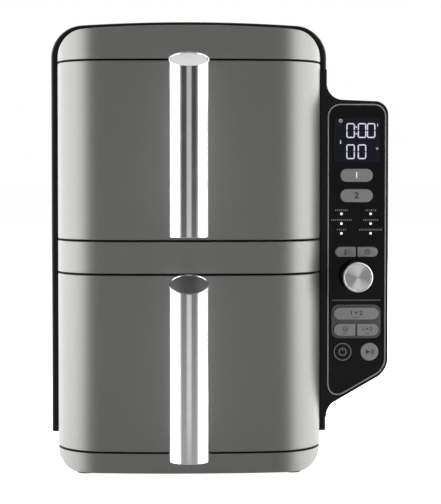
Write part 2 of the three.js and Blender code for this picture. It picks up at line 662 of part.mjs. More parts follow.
// The lead from the control board to the power board, clipped along the inside of the casing.
function panelHarness() {
  const route = [[138, 64, 112], [130, 70, 110.5], [121, 72, 110], [114, 73, 110], [110.8, 80, 110],
    [110.8, 140, 110], [110.8, 200, 111], [110.8, 260, 112], [110.8, 320, 113], [108, 350, 118],
    [101, 362, 130], [98, 372, 150], [98, 376.5, 166]];
  const path = new THREE.CatmullRomCurve3(route.map((point) => new THREE.Vector3(...point)));
  const section = disc(0, 0, 2.2);
  const options = { extrudePath: path, steps: 26, bevelEnabled: false, curveSegments: 4 };
  return solid(new THREE.ExtrudeGeometry(section, options));
}

// ---------------------------------------------------------------- assembly
const lowerZ = SEAMS.base + halfSeam;
const lowerHeight = SEAMS.middleLow - halfSeam - lowerZ;
const upperZ = SEAMS.middleTop + halfSeam;
const upperHeight = SEAMS.header - halfSeam - upperZ;
const frontY = HANDLE.axisY - HANDLE.radius;
const rearY = frontY + DEPTH;

const fryer = new THREE.Group();
const add = (name, made, material) => fryer.add(piece(name, made, material));

add("outer_shell", outerShell(), black);
add("rear_cover", rearCover(), black);
add("base_pan", basePan(), black);
add("front_frame", frontFrame(), black);
add("header_trim", headerTrim(), graphite);
add("middle_trim", middleTrim(), graphite);
add("base_trim", baseTrim(), graphite);
add("cord_gland", cordGland(), rubber);
add("foot_front_left", foot(-FOOT.x, FOOT.frontY), rubber);
add("foot_front_right", foot(FOOT.x, FOOT.frontY), rubber);
add("foot_rear_left", foot(-FOOT.x, FOOT.rearY), rubber);
add("foot_rear_right", foot(FOOT.x, FOOT.rearY), rubber);

for (const [place, z, height] of [["upper", upperZ, upperHeight], ["lower", lowerZ, lowerHeight]]) {
  add(place + "_liner", liner(z), steel);
  add(place + "_heater", heater(z), steel);
  add(place + "_fan_guard", fanGuard(z), steel);
  add(place + "_fan_motor", fanMotor(z), steel);
  add(place + "_hot_fan", hotFan(z), steel);
  add(place + "_cooling_fan", coolingFan(z), black);
  add(place + "_drawer_switch", drawerSwitch(z), black);
  add(place + "_fascia", fascia(z, height), graphite);
  add(place + "_drawer_core", drawerCore(z, height), black);
  add(place + "_basket", basket(z), nonstick);
  add(place + "_crisper_plate", crisperPlate(z), nonstick);
  add(place + "_handle", handleBar(z, height), chrome);
  add(place + "_handle_cap", handleCap(z, height), satin);
  add(place + "_handle_bracket", handleBracket(z, height), black);
}

add("panel_bezel", panelBezel(), black);
add("panel_back", wingBack(), black);
add("panel_accent", panelAccent(), accent);
add("panel_face", panelFace(), gloss);
add("display_window", through(displayOpening(0), FACE.front - 0.2, FACE.back - 0.4, 1), smoked);
add("display_module", displayModule(), black);
add("control_board", controlBoard(), board);
add("dial_knob", dialKnob(), black);
add("dial_cap", dialCap(), satin);
for (const key of KEYS) add(key.name, keyCap(key), key.name === "power_button" ? gloss : keyGrey);
add("power_board", powerBoard(), board);
add("panel_harness", panelHarness(), rubber);

fryer.position.set(-(WING.right - SHELL.half) / 2, -(frontY + rearY) / 2, 0);

export default fryer;
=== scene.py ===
# %% [markdown]
# # A two-drawer air fryer
# The engineering model already fixes where every piece of this fryer is and how it moves. This lesson
# builds the looks around it: a satin grey front in five bands, black casing, two chrome bars and a
# gloss black control wing. The frame is loaded first. Nothing that is added may grow past it.

# %% Load the fixed frame
import json
from math import asin, atan2, cos, pi, radians, tan

import bmesh
import bpy
from mathutils import Matrix, Vector


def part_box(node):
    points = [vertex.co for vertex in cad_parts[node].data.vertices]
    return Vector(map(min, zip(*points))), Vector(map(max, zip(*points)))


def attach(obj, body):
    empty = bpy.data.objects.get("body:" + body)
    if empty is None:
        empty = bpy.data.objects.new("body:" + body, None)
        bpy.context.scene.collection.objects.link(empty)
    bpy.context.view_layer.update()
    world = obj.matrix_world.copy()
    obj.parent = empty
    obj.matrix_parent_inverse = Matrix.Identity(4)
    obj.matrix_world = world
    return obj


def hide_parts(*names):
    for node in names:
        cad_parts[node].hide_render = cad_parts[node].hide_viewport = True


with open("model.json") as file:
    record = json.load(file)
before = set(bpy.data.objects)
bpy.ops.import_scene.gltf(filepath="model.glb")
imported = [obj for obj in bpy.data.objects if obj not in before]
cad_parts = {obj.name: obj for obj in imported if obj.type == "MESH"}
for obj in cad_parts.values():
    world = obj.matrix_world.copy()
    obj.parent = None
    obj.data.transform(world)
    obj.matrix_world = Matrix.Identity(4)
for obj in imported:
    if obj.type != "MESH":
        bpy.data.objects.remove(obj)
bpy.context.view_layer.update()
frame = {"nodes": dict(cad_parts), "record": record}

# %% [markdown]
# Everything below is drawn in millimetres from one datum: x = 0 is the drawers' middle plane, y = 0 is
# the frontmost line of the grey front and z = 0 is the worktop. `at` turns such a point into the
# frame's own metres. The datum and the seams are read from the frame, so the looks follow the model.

MM = 0.001
fascia_low, fascia_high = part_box("upper_fascia")
MIDDLE = (fascia_low.x + fascia_high.x) / 2
FRONT_LINE = fascia_low.y


def at(x, y, z):
    return Vector((MIDDLE + x * MM, FRONT_LINE + y * MM, z * MM))


def local_box(node):
    """A node's box in the datum's millimetres."""
    low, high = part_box(node)
    shift = Vector((MIDDLE, FRONT_LINE, 0))
    return (low - shift) / MM, (high - shift) / MM


DRAWERS = ["upper", "lower"]
FASCIA = {place: local_box(place + "_fascia") for place in DRAWERS}
HALF = FASCIA["upper"][1].x
print("front is", round(2 * HALF, 1), "mm wide; casing reaches",
      [round(v) for v in local_box("outer_shell")[1]])

# %% [markdown]
# ## Modelling by hand, in code
# A piece starts as a primitive at its size and place. Then faces and edges are picked by where they
# are, and the edit-mode operators shape them, just as they would by hand. These few helpers keep the
# later cells short. Operators act on whatever is selected, so every start deselects first.

# %% Helpers for starting, picking and finishing a piece
TOUCH = 0.02 * MM


def near(a, b):
    return abs(a - b) < TOUCH


def only(piece):
    """Select one piece and make it the active one."""
    bpy.ops.object.select_all(action="DESELECT")
    piece.hide_set(False)
    piece.select_set(True)
    bpy.context.view_layer.objects.active = piece


def named(name):
    """Name the primitive that was just added, and bake its place into its mesh."""
    bpy.ops.object.transform_apply(location=True, rotation=True, scale=True)
    piece = bpy.context.object
    piece.name = piece.data.name = name
    return piece


def block(name, low, high):
    """A box between two corners given in datum millimetres."""
    low, high = at(*low), at(*high)
    bpy.ops.object.select_all(action="DESELECT")
    bpy.ops.mesh.primitive_cube_add(size=1, location=(low + high) / 2, scale=high - low)
    return named(name)


def cylinder(name, centre, radius, length, axis="Y", sides=64):
    """A round bar about a point in datum millimetres, along Y or Z."""
    turn = (pi / 2, 0, 0) if axis == "Y" else (0, 0, 0)
    bpy.ops.object.select_all(action="DESELECT")
    bpy.ops.mesh.primitive_cylinder_add(vertices=sides, radius=radius * MM, depth=length * MM,
                                        location=at(*centre), rotation=turn)
    return named(name)


def edit(piece):
    only(piece)
    bpy.ops.object.mode_set(mode="EDIT")


def leave():
    bpy.ops.object.mode_set(mode="OBJECT")


def pick_items(piece, kind, test):
    """In edit mode, select the vertices, edges or faces that pass the test."""
    bpy.ops.mesh.select_mode(type=kind)
    bpy.ops.mesh.select_all(action="DESELECT")
    mesh = bmesh.from_edit_mesh(piece.data)
    for item in {"VERT": mesh.verts, "EDGE": mesh.edges, "FACE": mesh.faces}[kind]:
        item.select_set(test(item))
    bmesh.update_edit_mesh(piece.data)


def pick(piece, kind, test):
    """Select the vertices, edges or faces whose corners all lie where the test says."""
    def inside(item):
        return all(test(corner.co) for corner in ([item] if kind == "VERT" else item.verts))
    pick_items(piece, kind, inside)


def round_edges(piece, test, radius, segments=6):
    """Bevel the edges that pass the test to a round of this radius."""
    edit(piece)
    pick(piece, "EDGE", test)
    bpy.ops.mesh.bevel(offset=radius * MM, segments=segments, affect="EDGES")
    leave()


def delete_faces(piece, test):
    edit(piece)
    pick(piece, "FACE", test)
    bpy.ops.mesh.delete(type="FACE")
    leave()


def outward(piece):
    """Merge what touches and turn every face to point out."""
    edit(piece)
    bpy.ops.mesh.select_all(action="SELECT")
    bpy.ops.mesh.remove_doubles(threshold=0.005 * MM)
    bpy.ops.mesh.normals_make_consistent(inside=False)
    leave()


def modify(piece, kind, **settings):
    """Add one modifier and apply it."""
    only(piece)
    modifier = piece.modifiers.new(kind.title(), kind)
    for setting, value in settings.items():
        setattr(modifier, setting, value)
    bpy.ops.object.modifier_apply(modifier=modifier.name)


def wall(piece, thickness):
    """Give an open skin its wall, growing inwards."""
    modify(piece, "SOLIDIFY", thickness=thickness * MM, offset=-1, use_even_offset=True)


def soften(piece, width=0.5, segments=3, angle=30):
    """Break every sharp edge with a small round, as a mould or a press leaves it."""
    modify(piece, "BEVEL", width=width * MM, segments=segments, limit_method="ANGLE",
           angle_limit=radians(angle), use_clamp_overlap=True)


def combine(piece, tools, operation="DIFFERENCE"):
    """Cut, join or intersect a piece with each tool, and remove the tools."""
    for tool in tools:
        modify(piece, "BOOLEAN", object=tool, operation=operation, solver="EXACT")
        bpy.data.objects.remove(tool)


def fused(name, parts):
    """Several loose shapes as one object."""
    bpy.ops.object.select_all(action="DESELECT")
    for part in parts:
        part.select_set(True)
    bpy.context.view_layer.objects.active = parts[0]
    bpy.ops.object.join()
    parts[0].name = parts[0].data.name = name
    return parts[0]


def repeated(first, offsets):
    """A piece, followed by a copy with its own mesh at each offset in millimetres."""
    pieces = [first]
    for offset in offsets:
        piece = first.copy()
        piece.data = first.data.copy()
        bpy.context.scene.collection.objects.link(piece)
        piece.data.transform(Matrix.Translation(Vector(offset) * MM))
        pieces.append(piece)
    return pieces


def copy_of(node, name):
    """A node's mesh as a new object, with its loose triangles merged and flat faces made whole."""
    bpy.ops.object.select_all(action="DESELECT")
    piece = bpy.data.objects.new(name, frame["nodes"][node].data.copy())
    bpy.context.scene.collection.objects.link(piece)
    edit(piece)
    bpy.ops.mesh.select_all(action="SELECT")
    bpy.ops.mesh.remove_doubles(threshold=0.01 * MM)
    bpy.ops.mesh.dissolve_limited(angle_limit=radians(1))
    leave()
    return piece


# %% [markdown]
# Each finished piece is shaded smooth up to a set angle. Its normals are then weighted by face area, so
# that a small round never tilts the shading of the large face beside it. It gets its material, rides
# on the body that it moves with, and hides the engineering nodes that it stands for.

# %% Settling a piece on its body
def settle(piece, body, finish, *nodes, slot=None, angle=35):
    only(piece)
    bpy.ops.object.shade_smooth_by_angle(angle=radians(angle))
    modify(piece, "WEIGHTED_NORMAL", keep_sharp=True)
    piece.data.materials.clear()
    piece.data.materials.append(MATERIALS[finish])
    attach(piece, body)
    if nodes:
        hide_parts(*nodes)
    return piece

# %% [markdown]
# ## Finishes
# Real surfaces are never one flat value. Five small effects are shared: moulded grain, metal flake,
# a brush in one direction, turned grooves, and the faint marks that hands leave. Each is a node
# group, so one recipe serves many materials with its own values. All of them read Object
# coordinates, which are metres here, so a scale of 1 / size gives a pattern of that size.

# %% A helper for node groups
def node_group(name, inputs, outputs):
    """A shader node group with its two end nodes. Each input is (name, socket kind, default)."""
    group = bpy.data.node_groups.new(name, "ShaderNodeTree")
    for socket, kind, default in inputs:
        made = group.interface.new_socket(socket, in_out="INPUT", socket_type="NodeSocket" + kind)
        if default is not None:
            made.default_value = default
    for socket, kind in outputs:
        group.interface.new_socket(socket, in_out="OUTPUT", socket_type="NodeSocket" + kind)
    return group, group.nodes.new("NodeGroupInput").outputs, group.nodes.new("NodeGroupOutput").inputs


def feed(tree, socket, value):
    """Give an input a fixed value, or link another node's socket to it."""
    if isinstance(value, bpy.types.NodeSocket):
        tree.links.new(value, socket)
    else:
        socket.default_value = value


def add(tree, kind, inputs=None, **settings):
    """A node with its settings. An input is a value, or a socket that is linked to it."""
    node = tree.nodes.new("ShaderNode" + kind)
    for setting, value in settings.items():
        setattr(node, setting, value)
    for socket, value in (inputs or {}).items():
        feed(tree, node.inputs[socket], value)
    return node


def math(tree, operation, first, second):
    return add(tree, "Math", {0: first, 1: second}, operation=operation).outputs[0]


def mix_colour(tree, share, first, second):
    """The Mix node's colour inputs are its sockets 6 and 7, and its colour output is socket 2."""
    return add(tree, "Mix", {"Factor": share, 6: first, 7: second}, data_type="RGBA").outputs[2]


def drifting(tree, roughness, noise, drift):
    """A roughness that noise moves up and down by half of the drift."""
    swing = math(tree, "SUBTRACT", noise, 0.5)
    return math(tree, "ADD", roughness, math(tree, "MULTIPLY", swing, drift))


# %% [markdown]
# Moulded grain is the fine leather-like texture of a plastic tool: small bumps, and a roughness that
# drifts a little because the mould wears unevenly.

# %% Moulded grain
def make_grain():
    group, given, out = node_group("Moulded grain", [
        ("Vector", "Vector", None), ("Colour", "Color", (0.02, 0.02, 0.02, 1)),
        ("Roughness", "Float", 0.5), ("Drift", "Float", 0.06), ("Cells per metre", "Float", 1800.0),
    ], [("Colour", "Color"), ("Roughness", "Float"), ("Height", "Float")])
    fine = add(group, "TexVoronoi", {"Vector": given["Vector"], "Scale": given["Cells per metre"]},
               feature="SMOOTH_F1")
    slow = add(group, "TexNoise", {"Vector": given["Vector"], "Scale": 14.0, "Detail": 3.0})
    group.links.new(fine.outputs["Distance"], out["Height"])
    rough = drifting(group, given["Roughness"], slow.outputs["Fac"], given["Drift"])
    group.links.new(rough, out["Roughness"])
    pale = mix_colour(group, 0.04, given["Colour"], (0.3, 0.3, 0.3, 1))
    shade = math(group, "MULTIPLY", slow.outputs["Fac"], 0.3)
    group.links.new(mix_colour(group, shade, given["Colour"], pale), out["Colour"])
    return group


GRAIN = make_grain()

# %% [markdown]
# Metallic paint holds flakes of a few tenths of a millimetre that lie almost flat. Each flake is a
# cell with its own brightness and a slight tilt, and a slow drift stands for the paint's flow.

# %% Metal flake
def make_flake():
    group, given, out = node_group("Metal flake", [
        ("Vector", "Vector", None), ("Colour", "Color", (0.4, 0.4, 0.39, 1)),
        ("Bright flake", "Color", (0.6, 0.6, 0.58, 1)), ("Share", "Float", 0.3),
        ("Flakes per metre", "Float", 2600.0), ("Roughness", "Float", 0.35), ("Drift", "Float", 0.05),
    ], [("Colour", "Color"), ("Roughness", "Float"), ("Height", "Float")])
    cells = add(group, "TexVoronoi", {"Vector": given["Vector"], "Scale": given["Flakes per metre"]})
    level = add(group, "SeparateColor", {0: cells.outputs["Color"]}).outputs[0]
    slow = add(group, "TexNoise", {"Vector": given["Vector"], "Scale": 9.0, "Detail": 2.0})
    bright = math(group, "MULTIPLY", level, given["Share"])
    group.links.new(mix_colour(group, bright, given["Colour"], given["Bright flake"]), out["Colour"])
    rough = drifting(group, given["Roughness"], slow.outputs["Fac"], given["Drift"])
    group.links.new(rough, out["Roughness"])
    group.links.new(level, out["Height"])
    return group


FLAKE = make_flake()

# %% [markdown]
# A brush draws fine scratches one way. Noise that is squeezed along one axis makes them, and the
# Mapping node in each material says which axis that is.

# %% Brushed lines and turned grooves
def make_brush():
    group, given, out = node_group("Brushed lines", [
        ("Vector", "Vector", None), ("Roughness", "Float", 0.35), ("Spread", "Float", 0.15),
    ], [("Roughness", "Float"), ("Height", "Float")])
    lines = add(group, "TexNoise", {"Vector": given["Vector"], "Scale": 1.0, "Detail": 4.0})
    rough = drifting(group, given["Roughness"], lines.outputs["Fac"], given["Spread"])
    group.links.new(rough, out["Roughness"])
    group.links.new(lines.outputs["Fac"], out["Height"])
    return group


def make_grooves():
    """Concentric lathe grooves about the Y axis of the vector that comes in."""
    group, given, out = node_group("Turned grooves", [
        ("Vector", "Vector", None), ("Grooves per metre", "Float", 6000.0),
    ], [("Height", "Float")])
    parts = add(group, "SeparateXYZ", {0: given["Vector"]}).outputs
    across = math(group, "ADD", math(group, "MULTIPLY", parts["X"], parts["X"]),
                  math(group, "MULTIPLY", parts["Z"], parts["Z"]))
    radius = math(group, "SQRT", across, 0.0)
    place = math(group, "MULTIPLY", radius, given["Grooves per metre"])
    rings = add(group, "TexNoise", {"W": place, "Scale": 1.0, "Detail": 2.0}, noise_dimensions="1D")
    group.links.new(rings.outputs["Fac"], out["Height"])
    return group


BRUSH = make_brush()
GROOVES = make_grooves()

# %% [markdown]
# Polished pieces show where they were touched: soft patches where the gloss is a little duller.

# %% Handling marks
def make_marks():
    group, given, out = node_group("Handling marks", [
        ("Vector", "Vector", None), ("Roughness", "Float", 0.08), ("Marks", "Float", 0.08),
    ], [("Roughness", "Float")])
    patches = add(group, "TexNoise", {"Vector": given["Vector"], "Scale": 38.0, "Detail": 4.0,
                                      "Distortion": 0.6})
    spread = add(group, "MapRange", {"Value": patches.outputs["Fac"], "From Min": 0.5, "From Max": 0.75,
                                     "To Min": 0.0, "To Max": 1.0})
    extra = math(group, "MULTIPLY", spread.outputs[0], given["Marks"])
    group.links.new(math(group, "ADD", given["Roughness"], extra), out["Roughness"])
    return group


MARKS = make_marks()
print("effects:", [group.name for group in bpy.data.node_groups])

# %% [markdown]
# ## Materials
# A material is one Principled shader with fixed values on its own sockets. Only what changes over the
# surface comes from a group. `material` sets up the shader, and `effect` drops a group into it.

# %% Material helpers
def material(name, colour, roughness, metallic=0.0, **sockets):
    made = bpy.data.materials.new(name)
    made.use_nodes = True
    shader = made.node_tree.nodes["Principled BSDF"]
    values = {"Base Color": (*colour, 1), "Roughness": roughness, "Metallic": metallic}
    values.update({socket.replace("_", " "): value for socket, value in sockets.items()})
    for socket, value in values.items():
        shader.inputs[socket].default_value = value
    made.diffuse_color = (*colour, 1)
    return made, made.node_tree, shader


def object_vector(tree, scale=(1, 1, 1), centre=(0, 0, 0)):
    """Object coordinates through a Mapping node that scales them about a centre."""
    source = add(tree, "TexCoord").outputs["Object"]
    shift = tuple(-place * factor for place, factor in zip(centre, scale))
    return add(tree, "Mapping", {"Vector": source, "Location": shift, "Scale": scale}).outputs[0]


def effect(tree, group, **inputs):
    node = tree.nodes.new("ShaderNodeGroup")
    node.node_tree = group
    for socket, value in inputs.items():
        feed(tree, node.inputs[socket.replace("_", " ")], value)
    return node.outputs


def wire(tree, shader, outputs, relief=0.0):
    """Link a group's Colour and Roughness to the shader, and its Height through a Bump node."""
    for socket, target in (("Colour", "Base Color"), ("Roughness", "Roughness")):
        if socket in outputs:
            tree.links.new(outputs[socket], shader.inputs[target])
    if relief:
        bump = add(tree, "Bump", {"Height": outputs["Height"], "Strength": 1.0, "Distance": relief * MM})
        tree.links.new(bump.outputs["Normal"], shader.inputs["Normal"])


# %% [markdown]
# Plastics and rubber share the grain. Their differences are colour, roughness, grain size and depth.

# %% Grained plastics and rubber
def grained(name, colour, roughness, cells=1800.0, relief=0.004, drift=0.08, **sockets):
    made, tree, shader = material(name, colour, roughness, **sockets)
    wire(tree, shader, effect(tree, GRAIN, Vector=object_vector(tree), Colour=(*colour, 1),
                              Roughness=roughness, Drift=drift, Cells_per_metre=cells), relief)
    return made


def fine_grained(name, colour, roughness, relief=0.001, **sockets):
    """Silicone, film and print have cells of a quarter of a millimetre and are almost flat."""
    return grained(name, colour, roughness, 4000.0, relief, 0.04, **sockets)


MATERIALS = {
    "casing": grained("casing_black", (0.004, 0.004, 0.0042), 0.38, 1500.0, 0.003,
                      Specular_IOR_Level=0.17),
    "frame_steel": grained("powder_coat_black", (0.02, 0.02, 0.02), 0.6, 1200.0, 0.008),
    "drawer_inner": grained("nylon_black", (0.011, 0.011, 0.012), 0.5, 2200.0),
    "rubber": grained("rubber_black", (0.015, 0.015, 0.015), 0.8, 2500.0, 0.003),
    "key_grey": fine_grained("key_silicone_grey", (0.145, 0.145, 0.15), 0.5, 0.0015),
    "key_black": fine_grained("key_black", (0.004, 0.004, 0.004), 0.3, Specular_IOR_Level=0.15),
    "panel_line": fine_grained("inlay_grey", (0.2, 0.2, 0.205), 0.4),
    "preset_grey": fine_grained("preset_plate_grey", (0.045, 0.045, 0.047), 0.5),
    "print_dark": fine_grained("print_dark", (0.012, 0.012, 0.014), 0.6, 0.0005),
    "print_grey": fine_grained("print_grey", (0.14, 0.14, 0.143), 0.6, 0.0005),
    "print_white": fine_grained("print_white", (0.75, 0.75, 0.76), 0.5, 0.0005),
}

# %% [markdown]
# The front is a metallic paint: nearly all of its light is a soft reflection, so it goes dark where
# the room is dark and bright at its rounded sides. Non-stick coating is a dark base with pale specks.
# One recipe serves both, with fewer and larger cells and no metal for the coating.

# %% Grey metallic paint and non-stick coating
def flaked(name, colour, bright, roughness, metallic, relief, share, drift, cells, **sockets):
    made, tree, shader = material(name, colour, roughness, metallic, **sockets)
    outputs = effect(tree, FLAKE, Vector=object_vector(tree), Colour=(*colour, 1),
                     Bright_flake=(*bright, 1), Share=share, Flakes_per_metre=cells,
                     Roughness=roughness, Drift=drift)
    wire(tree, shader, outputs, relief)
    return made


MATERIALS["front_grey"] = flaked("front_grey_metallic", (0.2, 0.2, 0.195), (0.36, 0.36, 0.35), 0.45, 0.9,
                                 relief=0.004, share=0.2, drift=0.05, cells=2600.0)
MATERIALS["nonstick"] = flaked("nonstick_speckled", (0.018, 0.018, 0.02), (0.16, 0.16, 0.17), 0.42, 0.0,
                               relief=0.006, share=0.4, drift=0.12, cells=1500.0,
                               Specular_IOR_Level=0.3)

# %% [markdown]
# Gloss plastic and the display window are polished: nearly mirror smooth, with handling marks only.

# %% Polished surfaces
def polished(name, colour, roughness, metallic=0.0, marks=0.06, **sockets):
    made, tree, shader = material(name, colour, roughness, metallic, **sockets)
    wire(tree, shader, effect(tree, MARKS, Vector=object_vector(tree), Roughness=roughness, Marks=marks))
    return made


MATERIALS["panel_gloss"] = polished("panel_gloss_black", (0.0035, 0.0035, 0.0038), 0.1, marks=0.08,
                                    Specular_IOR_Level=0.12)
MATERIALS["display"] = polished("display_smoked", (0.006, 0.006, 0.011), 0.06, marks=0.05,
                                Specular_IOR_Level=0.12)

# %% [markdown]
# The bars were drawn through a die and polished lengthwise before they were chromed. That leaves long,
# very shallow lines, which break the edges of each reflection into fine streaks.

# %% Chrome with lengthwise polishing lines
def chrome():
    made, tree, shader = material("chrome_plate", (0.86, 0.86, 0.87), 0.15, 1.0)
    marks = effect(tree, MARKS, Vector=object_vector(tree), Roughness=0.15, Marks=0.05)
    lines = effect(tree, BRUSH, Vector=object_vector(tree, (420, 420, 2)), Roughness=marks["Roughness"],
                   Spread=0.03)
    wire(tree, shader, lines, 0.035)
    return made


MATERIALS["chrome"] = chrome()

# %% [markdown]
# Sheet steel in the cooking chambers is brushed along its length. The satin caps and the screws are
# brushed too, and the heater's tube has been through heat.

# %% Brushed metals
def brushed(name, colour, roughness, along, relief=0.003, spread=0.18):
    made, tree, shader = material(name, colour, roughness, 1.0)
    scale = tuple(40.0 if axis == along else 2500.0 for axis in "XYZ")
    wire(tree, shader, effect(tree, BRUSH, Vector=object_vector(tree, scale), Roughness=roughness,
                              Spread=spread), relief)
    return made


MATERIALS["cavity_steel"] = brushed("chamber_steel", (0.44, 0.44, 0.45), 0.38, "Y")
MATERIALS["satin_metal"] = brushed("satin_cap", (0.72, 0.72, 0.73), 0.3, "X", 0.001, 0.08)
MATERIALS["screw_steel"] = brushed("screw_zinc", (0.3, 0.3, 0.3), 0.35, "X", 0.001, 0.1)
MATERIALS["heater_tube"] = brushed("heater_tube", (0.22, 0.2, 0.18), 0.5, "Y", 0.002, 0.2)

# %% [markdown]
# The dial's face is turned on a lathe. The grooves are too fine to see one by one, but they stretch
# every highlight into the two bright fans that mark spun aluminium. The Anisotropic value does the
# stretching, and a radial tangent says that it turns about the dial's own axis.

# %% Spun aluminium
dial_low, dial_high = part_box("dial_cap")
DIAL_CENTRE = (dial_low + dial_high) / 2


def spun_metal():
    silver = (0.78, 0.78, 0.79)
    made, tree, shader = material("dial_spun_aluminium", silver, 0.46, 1.0, Anisotropic=0.92)
    tangent = add(tree, "Tangent", direction_type="RADIAL", axis="Y")
    tree.links.new(tangent.outputs[0], shader.inputs["Tangent"])
    outputs = effect(tree, GROOVES, Vector=object_vector(tree, centre=DIAL_CENTRE))
    wire(tree, shader, outputs, 0.0006)
    return made


MATERIALS["dial_face"] = spun_metal()

# %% [markdown]
# Digits and lamps give off their own light. Its strength drifts slightly, as the cells of a cheap
# display do. The circuit board is green lacquer with grain.

# %% Light and circuit board
def lamp(name, colour, strength):
    made, tree, shader = material(name, (0.3, 0.3, 0.32), 0.4, Emission_Strength=strength)
    cells = add(tree, "TexNoise", {"Vector": object_vector(tree), "Scale": 400.0})
    tint = mix_colour(tree, cells.outputs["Fac"], (*colour, 1), tuple(0.8 * v for v in colour) + (1,))
    tree.links.new(tint, shader.inputs["Emission Color"])
    return made


MATERIALS["digits"] = lamp("display_digits", (0.72, 0.7, 0.9), 0.55)
MATERIALS["lamp_white"] = lamp("indicator_lamp", (1.0, 1.0, 1.0), 1.1)
MATERIALS["circuit"] = grained("circuit_green", (0.015, 0.1, 0.04), 0.35, 900.0, 0.004)
print(len(MATERIALS), "materials")

# %% [markdown]
# The engineering nodes that no piece stands for, such as the heaters and the fans, take the material of
# their slot in the record.

# %% Materials for the nodes that stay
SLOT_OF = {part["node"]: part["material_slot"] for part in frame["record"]["subparts"]}
for node_name, node in frame["nodes"].items():
    for place in node.material_slots:
        place.material = MATERIALS[SLOT_OF[node_name]]

# %% [markdown]
# ## Shapes that this fryer repeats
# The front bands, the header and the casing share one profile: a slow bow between two round corners,
# with straight sides. Sweeping it with three spins keeps every tangent exact, and one helper serves
# both directions. Upright it bows towards the user, and lying it arches over the top.

# %% The bowed block
def line_start(name, point):
    """A single vertex to sweep from, left in edit mode."""
    bpy.ops.object.select_all(action="DESELECT")
    bpy.ops.mesh.primitive_plane_add(size=MM, location=point)
    piece = named(name)
    edit(piece)
    bpy.ops.mesh.select_mode(type="VERT")
    bpy.ops.mesh.select_all(action="SELECT")
    bpy.ops.mesh.merge(type="CENTER")
    return piece


def draw(step):
    """Extrude what is selected by a vector."""
    bpy.ops.mesh.extrude_region_move(TRANSFORM_OT_translate={"value": step})


def upright(x, out, along):
    return at(x, out, along)


def lying(top):
    return lambda x, out, along: at(x, along, top - out)


def bowed_block(name, place, half, bow, corner, depth, start, end):
    """Sweep half-width, bow radius and corner radius into an outline, fill it and extrude it."""
    axis = (0, 0, -1) if place is upright else (0, -1, 0)
    lean = asin((half - corner) / (bow - corner))
    shoulder = bow - (bow - corner) * cos(lean)
    piece = line_start(name, place(-half, depth, start))
    draw(place(-half, shoulder, start) - place(-half, depth, start))
    for x, out, angle, steps in ((corner - half, shoulder, pi / 2 - lean, 12), (0, bow, 2 * lean, 24),
                                 (half - corner, shoulder, pi / 2 - lean, 12)):
        bpy.ops.mesh.spin(steps=steps, angle=angle, center=place(x, out, start), axis=axis)
    draw(place(half, depth, start) - place(half, shoulder, start))
    bpy.ops.mesh.select_all(action="SELECT")
    bpy.ops.mesh.edge_face_add()
    draw(place(0, 0, end) - place(0, 0, start))
    leave()
    outward(piece)
    return piece


# %% [markdown]
# The wing, the keys and the window are plates: a flat outline with rounded corners, drawn in front
# view. A circle with as many sides as the outline has corners is the start. Each vertex is pulled to
# its corner, each corner is bevelled to its radius, and the face is extruded.

# %% Plates with rounded corners
def turn_at(corners, index):
    """The unit directions before and after a corner, and how far the outline turns there."""
    here, before = Vector(corners[index][:2]), Vector(corners[index - 1][:2])
    after = Vector(corners[(index + 1) % len(corners)][:2])
    into, out = (here - before).normalized(), (after - here).normalized()
    return into, out, atan2(into.x * out.y - into.y * out.x, into.dot(out))


def shrunk(corners, inset):
    """The same outline with its sides moved in, and its radii kept concentric."""
    moved = []
    for index, (x, z, radius) in enumerate(corners):
        into, _, turn = turn_at(corners, index)
        shift = Vector((-into.y, into.x)) * inset - into * inset * tan(turn / 2)
        smaller = radius - inset * (1 if turn > 0 else -1)
        moved.append((x + shift.x, z + shift.y, max(smaller, 0) if radius else 0))
    return moved


def plate(name, corners, front, back, segments=10):
    bpy.ops.object.select_all(action="DESELECT")
    bpy.ops.mesh.primitive_circle_add(vertices=len(corners), radius=1, fill_type="NGON")
    piece = named(name)
    edit(piece)
    bpy.ops.mesh.select_mode(type="VERT")
    for index, (x, z, _) in enumerate(corners):
        mesh = bmesh.from_edit_mesh(piece.data)
        mesh.verts.ensure_lookup_table()
        bpy.ops.mesh.select_all(action="DESELECT")
        mesh.verts[index].select_set(True)
        bpy.ops.transform.translate(value=at(x, front, z) - mesh.verts[index].co)
    for index, (x, z, radius) in enumerate(corners):
        if radius > 0:
            reach = radius * tan(abs(turn_at(corners, index)[2]) / 2)
            corner = at(x, front, z)
            pick(piece, "VERT", lambda co: (co - corner).length < TOUCH)
            bpy.ops.mesh.bevel(offset=reach * MM, segments=segments, affect="VERTICES")
    bpy.ops.mesh.select_all(action="SELECT")
    draw(Vector((0, (back - front) * MM, 0)))
    leave()
    outward(piece)
    return piece


def rectangle(left, low, right, high, radius=0):
    return [(left, low, radius), (right, low, radius), (right, high, radius), (left, high, radius)]


# %% [markdown]
# Round pieces are turned: a profile of (radius, position) points is drawn with extrudes and spun
# through a whole turn. That is how the dial, the feet, the gland and the screws are made.

# %% Turned pieces and bars
def lathe(name, profile, centre, axis="Y", sides=72):
    along = Vector((0, 1, 0)) if axis == "Y" else Vector((0, 0, 1))
    points = [at(*centre) + (Vector((radius, 0, 0)) + along * place) * MM for radius, place in profile]
    piece = line_start(name, points[0])
    for here, following in zip(points, points[1:]):
        draw(following - here)
    bpy.ops.mesh.select_all(action="SELECT")
    bpy.ops.mesh.spin(steps=sides, angle=2 * pi, center=at(*centre), axis=along)
    leave()
    outward(piece)
    return piece


def slice_off(piece, point, normal, fill=True):
    """Cut by a plane, and remove the side that the normal points to."""
    edit(piece)
    bpy.ops.mesh.select_all(action="SELECT")
    bpy.ops.mesh.bisect(plane_co=at(*point), plane_no=normal, use_fill=fill, clear_outer=True)
    leave()


